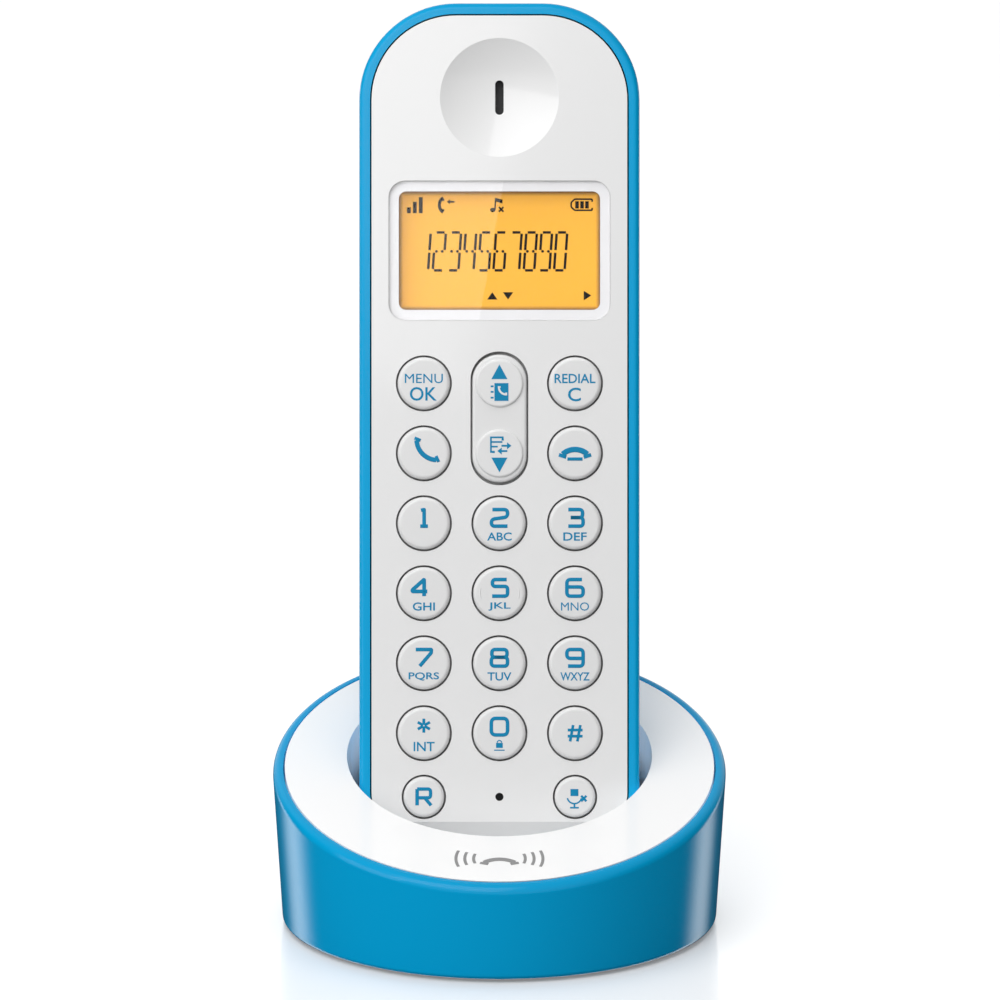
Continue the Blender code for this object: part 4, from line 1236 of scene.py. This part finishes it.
def makeSky():
    # bright above and darker at both sides, with a strip low down behind that only gloss picks up
    world = bpy.data.worlds.new("studioSky")
    bpy.context.scene.world = world
    world.use_nodes = True
    tree = world.node_tree
    link = tree.links.new
    shine = tree.nodes["Background"]
    shine.inputs["Color"].default_value = (1, 1, 1, 1)
    spot = node(tree, "ShaderNodeTexCoord")
    split = node(tree, "ShaderNodeSeparateXYZ")
    link(spot.outputs["Generated"], split.inputs["Vector"])

    def ramp(source, low, high, first, last):
        made = node(tree, "ShaderNodeMapRange", interpolation_type="SMOOTHSTEP")
        setSockets(made, {"From Min": low, "From Max": high, "To Min": first, "To Max": last})
        link(source, made.inputs["Value"])
        return made.outputs["Result"]

    def maths(kind, first, second=0.0):
        made = node(tree, "ShaderNodeMath", operation=kind)
        for socket, value in zip(made.inputs, (first, second)):
            if isinstance(value, (int, float)):
                socket.default_value = value
            else:
                link(value, socket)
        return made.outputs[0]

    size = maths("ABSOLUTE", split.outputs["X"])
    sides = ramp(size, 0.35, 0.9, 0.0, 1.0)
    depth = ramp(split.outputs["Y"], -0.3, 0.4, studio["skyFront"], studio["skyBack"])
    level = maths("MULTIPLY", depth, maths("SUBTRACT", 1.0, sides))
    level = maths("ADD", level, maths("MULTIPLY", sides, studio["skySide"]))
    up = ramp(split.outputs["Z"], 0.35, 0.95, 0.0, 1.0)
    level = maths("MULTIPLY", level, maths("SUBTRACT", 1.0, up))
    level = maths("ADD", level, maths("MULTIPLY", up, studio["skyTop"]))
    off = maths("ABSOLUTE", maths("SUBTRACT", split.outputs["Y"], studio["stripAt"]))
    strip = ramp(off, 0.0, studio["stripHalf"], studio["stripGlow"], 0.02)
    below = ramp(split.outputs["Z"], -0.02, 0.02, 0.0, 1.0)
    under = maths("MULTIPLY", strip, maths("SUBTRACT", 1.0, below))
    link(maths("ADD", maths("MULTIPLY", level, below), under), shine.inputs["Strength"])


def makeLamp(name, middle, wide, tall, glow, toward, turn=0.0):
    # glow is the brightness of the lamp's face
    data = bpy.data.lights.new(name, "AREA")
    data.shape = "RECTANGLE"
    data.size = wide
    data.size_y = tall
    data.energy = glow * math.pi * wide * tall
    lamp = place(name, data)
    way = (toward - middle).normalized()
    aimed = Matrix.Translation(middle) @ way.to_track_quat("-Z", "Y").to_matrix().to_4x4()
    lamp.matrix_world = aimed @ Matrix.Rotation(turn, 4, "Z")
    lamp.visible_camera = False
    return lamp


def makeStudio():
    deselect()
    bpy.ops.mesh.primitive_plane_add(size=9, location=(0, 0, 0))
    floor = bpy.context.object
    floor.name = "floor"
    look = bpy.data.materials.new("paleFloor")
    look.use_nodes = True
    shader = look.node_tree.nodes["Principled BSDF"]
    shade = studio["floorShade"]
    setSockets(shader, {
        "Base Color": (shade, shade, shade, 1),
        "Roughness": 0.1,
        "Specular IOR Level": 0.5,
        "Emission Color": (1, 1, 1, 1),
        "Emission Strength": studio["floorGlow"],
    })
    # the floor throws back less light than it shows, so the sides of the object stay deeper
    tree = look.node_tree
    link = tree.links.new
    dim = node(tree, "ShaderNodeBsdfDiffuse", {"Color": (studio["floorBounce"],) * 3 + (1,)})
    path = node(tree, "ShaderNodeLightPath")
    either = node(tree, "ShaderNodeMixShader")
    link(path.outputs["Is Diffuse Ray"], either.inputs[0])
    link(shader.outputs[0], either.inputs[1])
    link(dim.outputs[0], either.inputs[2])
    link(either.outputs[0], tree.nodes["Material Output"].inputs["Surface"])
    floor.data.materials.append(look)
    floor.visible_glossy = False
    makeSky()
    face = handsetPlace @ Vector((0, 0, 0.09))
    # the softbox in front, whose straight edge shows as a soft diagonal on the face
    turn = math.radians(studio["softTurn"])
    wide, tall = studio["softWide"], studio["softTall"]
    along = Vector((math.sin(turn), 0, math.cos(turn)))
    across = Vector((math.cos(turn), 0, -math.sin(turn)))
    x, z = studio["softCorner"]
    middle = Vector((x, -studio["softAway"], z)) + along * tall / 2 - across * wide / 2
    middle = handsetPlace @ middle
    makeLamp("softbox", middle, wide, tall, studio["softbox"], middle + pressWay, -turn)
    makeLamp("sideBox", Vector(studio["sideSpot"]), *studio["sideSize"], studio["sideBox"], face)


def lightWell(top):
    # low lamps at both sides for the inside of the well only, so that the handset doesn't shade it
    lit = bpy.data.collections.new("wellLit")
    lit.objects.link(top)
    aim = planeMiddle
    for side in (-1, 1):
        spot = aim + Vector((side * studio["wellAway"], 0, studio["wellUp"]))
        size = studio["wellSize"]
        lamp = makeLamp(f"wellLight{side + 1}", spot, *size, studio["wellLight"], aim)
        lamp.light_linking.receiver_collection = lit
        lamp.light_linking.blocker_collection = lit


def lightWhites():
    # overhead light for the floor and the pale parts, which leaves the blue rims deeper
    pale = bpy.data.collections.new("paleLit")
    for piece in bpy.context.scene.objects:
        if piece.type == "MESH" and looks["blue"] not in piece.data.materials[:]:
            pale.objects.link(piece)
    spot, size = Vector(studio["topSpot"]), studio["topSize"]
    lamp = makeLamp("topBox", spot, *size, studio["topBox"], Vector((0, 0, 0)))
    lamp.light_linking.receiver_collection = pale


def makeCamera():
    # aimed square at the handset's face
    data = bpy.data.cameras.new("camera")
    data.lens = studio["lens"]
    data.sensor_width = studio["sensor"]
    data.clip_end = 50
    camera = place("camera", data)
    up = shell["length"] + studio["headroom"] - studio["across"] / 2
    aim = handsetPlace @ Vector((studio["aimX"], 0, up))
    away = studio["across"] * studio["lens"] / studio["sensor"]
    camera.location = aim - pressWay * away
    camera.rotation_euler = (-pressWay).to_track_quat("Z", "Y").to_euler()
    bpy.context.scene.camera = camera
    bpy.context.scene.view_settings.view_transform = "Standard"


makeStudio()
makeCamera()
print("studio ready")
dressNodes()
print("frame nodes dressed")
makeRearCover()
makeDoor()
makeFrontCover()
print("handset covers ready")
makeLens()
displayPicture()
print("display ready")
makeKeys()
makeRocker()
rockerLegends()
print("keys ready")
makeHousing()
lightWell(makeBaseTop())
makeBadge()
makeFeet()
makePageButton()
lightWhites()
print("base ready")
